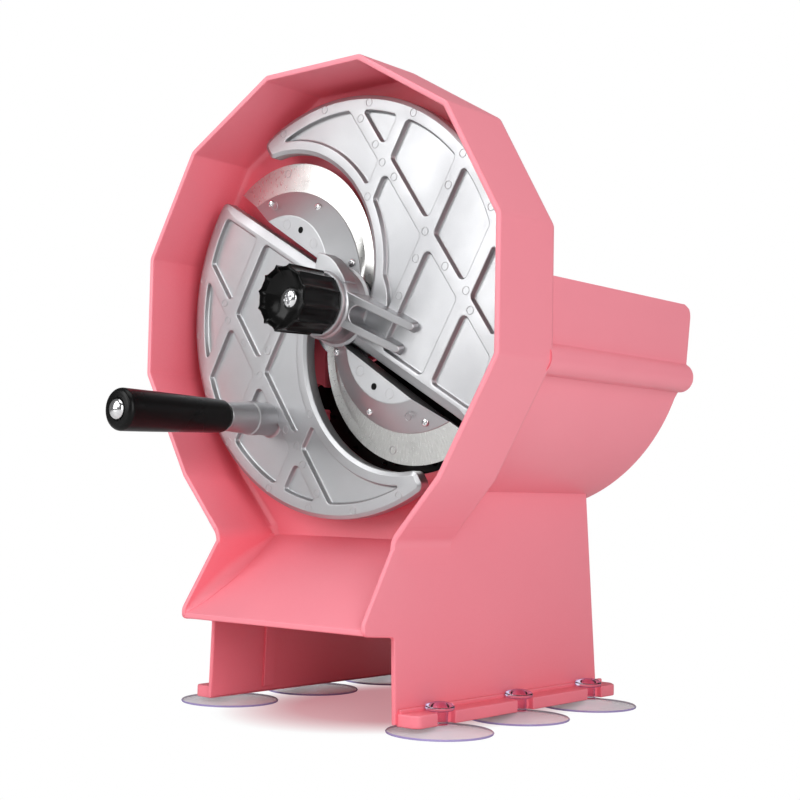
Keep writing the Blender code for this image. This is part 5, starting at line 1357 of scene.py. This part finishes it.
class SLICER_OT_spindle(bpy.types.Operator):
    """Build the spindle with its flange, bush, washer and nut"""
    bl_idname = "slicer.spindle"
    bl_label = "Spindle"

    def execute(self, context):
        (start, end), (bush_near, bush_far), (ring_near, ring_far), (nut_near, nut_far) = (
            [(corner - HUB).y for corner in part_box(node)]
            for node in ("spindle", "spindle_bush", "rear_washer", "rear_nut"))
        flange, shaft, bore, threads, steps = disc_sizes().blade_back + 0.0043, 0.006, SHAFT_BORE, 10, 64
        profile = [(0.0, start), (shaft, start), (shaft, flange), (0.015, flange), (0.015, bush_near - 0.0003),
                   (shaft, bush_near - 0.0003), (shaft, ring_far + 0.0004)]
        for i in range(threads):
            y = ring_far + 0.0006 + (end - 0.0014 - ring_far) * i / threads
            profile += [(0.00598, y), (0.00545, y + 0.0005)]
        profile += [(0.0052, end - 0.0003), (0.0045, end), (0.0, end)]
        turned("spindle_shaft", profile, steps, ORIGIN, bright_metal(), "spindle", ["spindle"], "bright_steel")
        sleeve = rounded([(bore, bush_near), (0.0093, bush_near), (0.0093, bush_far), (bore, bush_far),
                          (bore, bush_near)], 0.0004)
        turned("bush_sleeve", sleeve, steps, ORIGIN, bronze_metal(), "housing", ["spindle_bush"], "bronze")
        ring = [(bore, ring_near), (0.0127, ring_near), (0.013, ring_near + 0.0003), (0.013, ring_far - 0.0003),
                (0.0127, ring_far), (bore, ring_far), (bore, ring_near)]
        turned("washer_ring", ring, steps, ORIGIN, bright_metal(), "spindle", ["rear_washer"], "bright_steel")
        hexagon = resampled([polar(0.0095 / cos(pi / 6), i * pi / 3) for i in range(6)], 0.002)
        hole = arc(ORIGIN, bore, 0.0, 2 * pi, 0.0008)[:-1]
        moulded("nut_hexagon", lambda nut: slab(nut, hexagon, nut_near, nut_far, 0.0006, front, [hole]),
                bright_metal(), "spindle", ["rear_nut"], "bright_steel")
        plain_node("thickness_spring", bright_metal())
        return {"FINISHED"}


# Knob and crank

class SLICER_OT_knob(bpy.types.Operator):
    """Build the fluted thickness knob and its screw"""
    bl_idname = "slicer.knob"
    bl_label = "Thickness knob"

    def execute(self, context):
        sizes = disc_sizes()
        nose, radius, lobes = sizes.knob_front, sizes.knob_radius, sizes.knob_lobes
        floor, neck, back = -0.0121, 0.0104, 0.0166
        profile = [(0.0022, floor, 0.0), (0.0066, floor, 0.0), (0.0080, floor - 0.0003, 0.0),
                   (0.0130, floor - 0.0020, 0.0), (0.0166, floor - 0.0048, 0.25), (0.0182, nose + 0.0014, 0.85),
                   (0.0187, nose + 0.0004, 0.95), (0.0190, nose, 1.0), (radius - 0.0006, nose + 0.0001, 1.0),
                   (radius - 0.0001, nose + 0.0005, 1.0), (radius, nose + 0.0014, 1.0),
                   (radius - 0.0001, nose + 0.008, 1.0), (radius - 0.0003, nose + 0.016, 1.0),
                   (radius - 0.0005, nose + 0.024, 1.0), (radius - 0.0006, neck - 0.0012, 1.0),
                   (radius - 0.0012, neck - 0.0002, 0.9), (radius - 0.0034, neck, 0.2), (0.0156, neck + 0.0001, 0.0),
                   (0.0155, back - 0.0004, 0.0), (0.0151, back, 0.0), (0.0064, back, 0.0), (0.0064, -0.0078, 0.0),
                   (0.0022, -0.0078, 0.0), (0.0022, floor, 0.0)]
        count = lobes * 16
        work = bmesh.new()
        rings = []
        for r, y, fluted in profile:
            ring = []
            for i in range(count):
                way = 2 * pi * i / count
                wave = abs(sin(way * lobes / 2))
                depth = 0.00185 * (1 - (1 - wave) ** 2.2) * fluted
                ring.append(front(*polar(r - depth, way + pi / lobes), y))
            rings.append(ring)
        loft(work, rings)
        finish("fluted_knob", work, black_plastic("knob_moulding", 0.16, 0.26), "knob", ["thickness_knob"],
               "black_plastic", sharp=26.0)
        screw = bmesh.new()
        build_cross_head(screw, ORIGIN, 0.0060, floor - 0.0002, 0.0028, 0.35)
        finish("knob_screw_head", screw, bright_metal(), "knob", ["knob_screw"], "bright_steel", sharp=40.0)
        return {"FINISHED"}


class SLICER_OT_crank(bpy.types.Operator):
    """Build the crank's sleeve, pin, turned grip and end screw"""
    bl_idname = "slicer.crank"
    bl_label = "Crank"

    def execute(self, context):
        sizes = disc_sizes()
        centre = (CRANK_AXIS.x, CRANK_AXIS.z)
        near, far, bore, edge = -0.0075, 0.0129, 0.0038, 0.0034
        sleeve = rounded([(bore, near), (0.0086, near), (0.0098, far), (bore, far), (bore, near)], 0.0004)
        turned("crank_sleeve_turned", sleeve, 72, centre, cast_metal(), "wings", ["crank_sleeve"], "cast_aluminium")
        grip_back = near - 0.0003
        nose = grip_back - sizes.grip_length
        end, neck = sizes.grip_end, sizes.grip_neck
        profile = [(bore, nose + 0.003), (0.0063, nose + 0.003), (0.0063, nose + 0.0007), (0.0070, nose),
                   (end - edge, nose + 0.0002)]
        profile += [(end - edge * (1 - sin(a)), nose + 0.0002 + edge * (1 - cos(a)))
                    for a in quarter(6, 1)]
        for k in range(1, 9):
            t = k / 9
            profile.append((end + (neck - end) * t ** 1.15, nose + 0.0036 + (sizes.grip_length - 0.0072) * t))
        profile += [(neck - edge * (1 - cos(a)), grip_back - edge * (1 - sin(a)))
                    for a in quarter(6)]
        profile += [(bore, grip_back), (bore, nose + 0.003)]
        turned("turned_grip", profile, 96, centre, black_plastic("grip_moulding", 0.24, 0.34), "grip", ["grip"],
               "black_plastic")
        seat = nose + 0.0027
        dome = [(0.006 * sin(a), seat - 0.0022 - 0.0034 * cos(a)) for a in quarter(10)]
        turned("grip_screw_dome", [*dome, (0.006, seat), (0.0, seat)], 72, centre, bright_metal(), "grip",
               ["grip_screw"], "bright_steel")
        plain_node("crank_pin", bright_metal())
        return {"FINISHED"}


# Pusher and suction cups

class SLICER_OT_pusher(bpy.types.Operator):
    """Build the spiked pusher with its runner, ears and push bar"""
    bl_idname = "slicer.pusher"
    bl_label = "Pusher"

    def execute(self, context):
        face, plate_front, plate_back = 0.0530, 0.0540, 0.062
        inset = 0.001
        work = bmesh.new()
        radius, hub, left, top = FEED_RADIUS - inset, 0.031 + inset, -0.028 + inset, 0.006 - inset
        start = asin((top - FEED_CENTRE[1]) / radius)
        end = -acos((left - FEED_CENTRE[0]) / radius)
        outline = arc(FEED_CENTRE, radius, start, end, 0.004)
        outline += arc(ORIGIN, hub, -acos(left / hub), asin(top / hub), 0.002)
        slab(work, filleted(outline, 0.001), face, plate_back - 0.001, 0.0006)
        floor = body_sizes().floor_radius - 0.004 - inset
        right = BEAD_CENTRE[0] - 0.0015 - inset
        wall = body_sizes().trough_left + 0.003 + 2 * inset
        path = arc(FLOOR_CENTRE, floor, -acos((right - FLOOR_CENTRE[0]) / floor),
                   -acos((wall - FLOOR_CENTRE[0]) / floor), 0.004)
        rise = asin(0.003 / 0.033)
        path = [(right, 0.003), *path, (wall, 0.003), *arc(ORIGIN, 0.033, -pi - rise, rise, 0.002)]
        slab(work, filleted(path, 0.001), plate_front, plate_back, 0.0008)
        revolve(work, rounded([(0.0, face), (0.008, face), (0.008, plate_front + 0.004), (0.0, plate_front + 0.004)],
                              0.0006), 40, EAR_CENTRE)
        revolve(work, rounded([(0.0, plate_front), (0.0045, plate_front), (0.0045, plate_back), (0.0, plate_back)],
                              0.0006), 32, BEAD_CENTRE)
        spikes = bmesh.new()
        pitch, margin = 0.0095, 0.003
        columns = int(2 * FEED_RADIUS / pitch) + 1
        for row in range(columns):
            for column in range(columns):
                x = FEED_CENTRE[0] - FEED_RADIUS + (column + row % 2 / 2) * pitch
                z = 0.006 - margin - inset - row * pitch
                inside = hypot(x - FEED_CENTRE[0], z - FEED_CENTRE[1]) < FEED_RADIUS - margin
                if inside and hypot(x, z) > 0.031 + margin and x > -0.028 + margin:
                    revolve(spikes, [(0.0, face - 0.0030), (0.0005, face - 0.0028), (0.0016, face + 0.0002)], 12,
                            (x, z))
        bar = rounded([(0.0, -0.082), (0.0085, -0.082), (0.009, -0.079), (0.009, -0.017), (0.0085, -0.014),
                       (0.0, -0.014)], 0.002)
        revolve(work, bar, 40, (0.045, plate_back + 0.030), straight)
        for z in (-0.070, -0.026):
            revolve(work, [(0.0075, plate_back - 0.001), (0.0062, plate_back + 0.002),
                           (0.006, plate_back + 0.028)], 32, (0.045, z))
        finish("spiked_pusher", work, black_plastic("pusher_moulding", 0.30, 0.42), "pusher", ["pusher"],
               "black_plastic", sharp=35.0)
        finish("pusher_spike_field", spikes, black_plastic("spike_moulding", 0.10, 0.18), "pusher",
               ["pusher_spikes"], "black_plastic", sharp=35.0)
        return {"FINISHED"}


class SLICER_OT_suction_cups(bpy.types.Operator):
    """Build the six clear suction cups"""
    bl_idname = "slicer.suction_cups"
    bl_label = "Suction cups"

    def execute(self, context):
        sizes = disc_sizes()
        radius = sizes.cup_radius
        ground = -HUB.z
        under = -body_sizes().leg_bottom - 0.0003
        over = -body_sizes().leg_bottom + 0.0073
        head = [(0.0083 * sin(a), over + 0.0019 + 0.0032 * cos(a)) for a in quarter(8)]
        head[0] = (0.0, over + 0.0051)
        stud = [*head, (0.0080, over + 0.0008), (0.0068, over), (0.0045, over), (0.0045, under), (0.0, under)]
        rim = radius - 0.0006
        skirt = [(0.0, under - 0.0001), (0.0088, under - 0.0001), (0.0096, under - 0.0006), (0.0150, ground + 0.0032),
                 (0.0222, ground + 0.0022), (0.0270, ground + 0.0015), (rim, ground + 0.0011), (rim, ground),
                 (rim - 0.0010, ground), (0.0240, ground + 0.0004), (0.0180, ground + 0.0008),
                 (0.0100, ground + 0.0014), (0.0, ground + 0.0018)]
        bead = [(rim + 0.0001, ground + 0.0011), (radius, ground + 0.0006), (radius - 0.0002, ground),
                (rim + 0.0001, ground), (rim + 0.0001, ground + 0.0011)]
        for side, label in ((1, "right"), (-1, "left")):
            for number in range(3):
                place = (side * CUP_LINE, FIRST_CUP + number * sizes.cup_pitch)
                node = "suction_cup_%s_%d" % (label, number + 1)
                for part, profile, vinyl in (
                        ("_stud", stud, clear_vinyl()),
                        ("_skirt", skirt, thin_vinyl("vinyl_skirt", colours().vinyl_skirt, 0.5)),
                        ("_rim", bead, thin_vinyl("vinyl_rim", colours().vinyl_rim, 0.75))):
                    turned(node + part, profile, 72, place, vinyl, "housing", [node], "clear_vinyl", sharp=45.0,
                           place=straight)
        return {"FINISHED"}


# Studio

class SLICER_OT_studio(bpy.types.Operator):
    """Build the pale floor, the soft lights, the sky and the camera"""
    bl_idname = "slicer.studio"
    bl_label = "Studio"

    def execute(self, context):
        build_floor()
        build_lights()
        build_camera()
        return {"FINISHED"}


def build_floor():
    """Pale floor that shows as white to the camera, keeps part of the real shadow and has a painted shadow round the
    feet.
    """
    work = bmesh.new()
    bmesh.ops.create_grid(work, x_segments=8, y_segments=8, size=3.0)
    mesh = bpy.data.meshes.new("studio_floor")
    work.to_mesh(mesh)
    work.free()
    floor = bpy.data.objects.new("studio_floor", mesh)
    floor.location = (0.0, 0.0, -0.0002)
    bpy.context.scene.collection.objects.link(floor)
    material = bpy.data.materials.new("studio_paper")
    material.use_nodes = True
    nodes, links = material.node_tree.nodes, material.node_tree.links
    shader = nodes["Principled BSDF"]
    shader.inputs["Base Color"].default_value = full(colours().paper)
    shader.inputs["Roughness"].default_value = 0.55
    grain = noise_node(nodes, links, nodes.new("ShaderNodeTexCoord").outputs["Object"], 300.0, 2.0)
    links.new(relief_node(nodes, links, grain, 0.05, 0.0001), shader.inputs["Normal"])
    # Painted shadow: the camera sees a white ground, darker and pinker in an oval round the feet, as painted shade
    # and painted pink light bounced off the body
    place = nodes.new("ShaderNodeTexCoord").outputs["Object"]
    shift = vectors(nodes, links, "SUBTRACT", place, (0.0, 0.045, 0.0))
    reach = vectors(nodes, links, "LENGTH", vectors(nodes, links, "MULTIPLY", shift, (12.0, 8.5, 0.0)))
    seen = maths(nodes, links, "MULTIPLY", seen_rays(nodes, links),
                 range_node(nodes, links, reach, 0.80, 1.20, 0.6, 1.0))
    # Painted shadow colour, pink from painted light bounced off the body, fading to white away from the feet
    tint = nodes.new("ShaderNodeValToRGB")
    tint.color_ramp.elements[0].color = (0.76, 0.38, 0.42, 1.0)
    tint.color_ramp.elements[1].color = (1.0, 1.0, 1.0, 1.0)
    links.new(range_node(nodes, links, reach, 0.70, 1.15, 0.0, 1.0), tint.inputs["Fac"])
    glow = nodes.new("ShaderNodeEmission")
    glow.inputs["Strength"].default_value = 1.0
    links.new(tint.outputs["Color"], glow.inputs["Color"])
    mix = nodes.new("ShaderNodeMixShader")
    links.new(seen, mix.inputs["Fac"])
    links.new(shader.outputs["BSDF"], mix.inputs[1])
    links.new(glow.outputs["Emission"], mix.inputs[2])
    links.new(mix.outputs["Shader"], nodes["Material Output"].inputs["Surface"])
    mesh.materials.append(material)


def build_lights():
    """Soft boxes and an even sky."""
    world = bpy.data.worlds.new("studio_sky")
    bpy.context.scene.world = world
    world.use_nodes = True
    nodes, links = world.node_tree.nodes, world.node_tree.links
    sky = nodes["Background"]
    sky.inputs["Color"].default_value = (1.0, 1.0, 1.0, 1.0)
    sky_fill = 0.16
    links.new(range_node(nodes, links, seen_rays(nodes, links), 0.0, 1.0, sky_fill, 1.0), sky.inputs["Strength"])
    for name, place, target, size, strength in (
            ("key_box", (-1.0, -1.9, 1.15), (0.0, 0.0, 0.22), (1.1, 1.9), 26.0),
            ("fill_box", (2.2, -1.1, 0.8), (0.0, 0.0, 0.2), (1.4, 1.8), 36.0),
            ("front_box", (0.05, -2.3, 1.25), (0.0, 0.0, 0.25), (0.6, 1.0), 6.0),
            ("top_box", (0.2, -0.3, 2.4), (0.0, 0.0, 0.2), (1.8, 1.8), 19.0)):
        lamp = bpy.data.lights.new(name, "AREA")
        lamp.shape = "RECTANGLE"
        lamp.size, lamp.size_y = size
        lamp.energy = strength
        box = bpy.data.objects.new(name, lamp)
        box.location = place
        box.rotation_euler = (Vector(target) - Vector(place)).to_track_quat("-Z", "Y").to_euler()
        bpy.context.scene.collection.objects.link(box)
    bpy.context.scene.view_settings.view_transform = "Standard"


def build_camera():
    """Camera at the photograph's place: turned to the right, a little below the axis."""
    turn, rise, roll = radians(40.1995), radians(-3.5758), radians(1.0629)
    back = Vector((sin(turn) * cos(rise), -cos(turn) * cos(rise), sin(rise)))
    right = Vector((cos(turn), sin(turn), 0.0))
    up = back.cross(right)
    level = right * cos(roll) + up * sin(roll)
    upright = up * cos(roll) - right * sin(roll)
    unit, film, focal, width = 0.145, 36.0, 1464.16, 800.0
    place = back * 5.878 * unit + level * 0.3803 * unit + upright * -0.3966 * unit
    lens = bpy.data.cameras.new("photo_camera")
    lens.sensor_width = film
    lens.lens = film * focal / width
    lens.clip_start = 0.01
    lens.clip_end = 50.0
    camera = bpy.data.objects.new("photo_camera", lens)
    matrix = Matrix((level, upright, back)).transposed().to_4x4()
    matrix.translation = place + HUB
    camera.matrix_world = matrix
    bpy.context.scene.collection.objects.link(camera)
    bpy.context.scene.camera = camera


OPERATORS = (
    SLICER_OT_moulded_body,
    SLICER_OT_pusher,
    SLICER_OT_spindle,
    SLICER_OT_blade_carrier,
    SLICER_OT_blades,
    SLICER_OT_blade_screws,
    SLICER_OT_wing_plate,
    SLICER_OT_knob,
    SLICER_OT_crank,
    SLICER_OT_suction_cups,
    SLICER_OT_studio,
)


class SLICER_PT_panel(bpy.types.Panel):
    """Slicer pieces and their sizes"""
    bl_idname = "SLICER_PT_panel"
    bl_label = "Vegetable slicer"
    bl_space_type = "VIEW_3D"
    bl_region_type = "UI"
    bl_category = "Slicer"

    def draw(self, context):
        column = self.layout.column(align=True)
        for operator in OPERATORS:
            column.operator(operator.bl_idname)
        for group in (context.scene.slicer_body, context.scene.slicer_disc, context.scene.slicer_colours):
            box = self.layout.box()
            for name in group.__annotations__:
                box.prop(group, name)


CLASSES = (SlicerBodySizes, SlicerDiscSizes, SlicerColours, *OPERATORS, SLICER_PT_panel)


def register():
    """Register the classes and the settings."""
    for cls in CLASSES:
        bpy.utils.register_class(cls)
    bpy.types.Scene.slicer_body = bpy.props.PointerProperty(type=SlicerBodySizes)
    bpy.types.Scene.slicer_disc = bpy.props.PointerProperty(type=SlicerDiscSizes)
    bpy.types.Scene.slicer_colours = bpy.props.PointerProperty(type=SlicerColours)


def unregister():
    """Remove the settings and the classes."""
    del bpy.types.Scene.slicer_colours
    del bpy.types.Scene.slicer_disc
    del bpy.types.Scene.slicer_body
    for cls in reversed(CLASSES):
        bpy.utils.unregister_class(cls)


def main():
    """Build the slicer and its studio."""
    register()
    for operator in OPERATORS:
        group, name = operator.bl_idname.split(".")
        getattr(getattr(bpy.ops, group), name)()


if __name__ == "__main__":
    main()
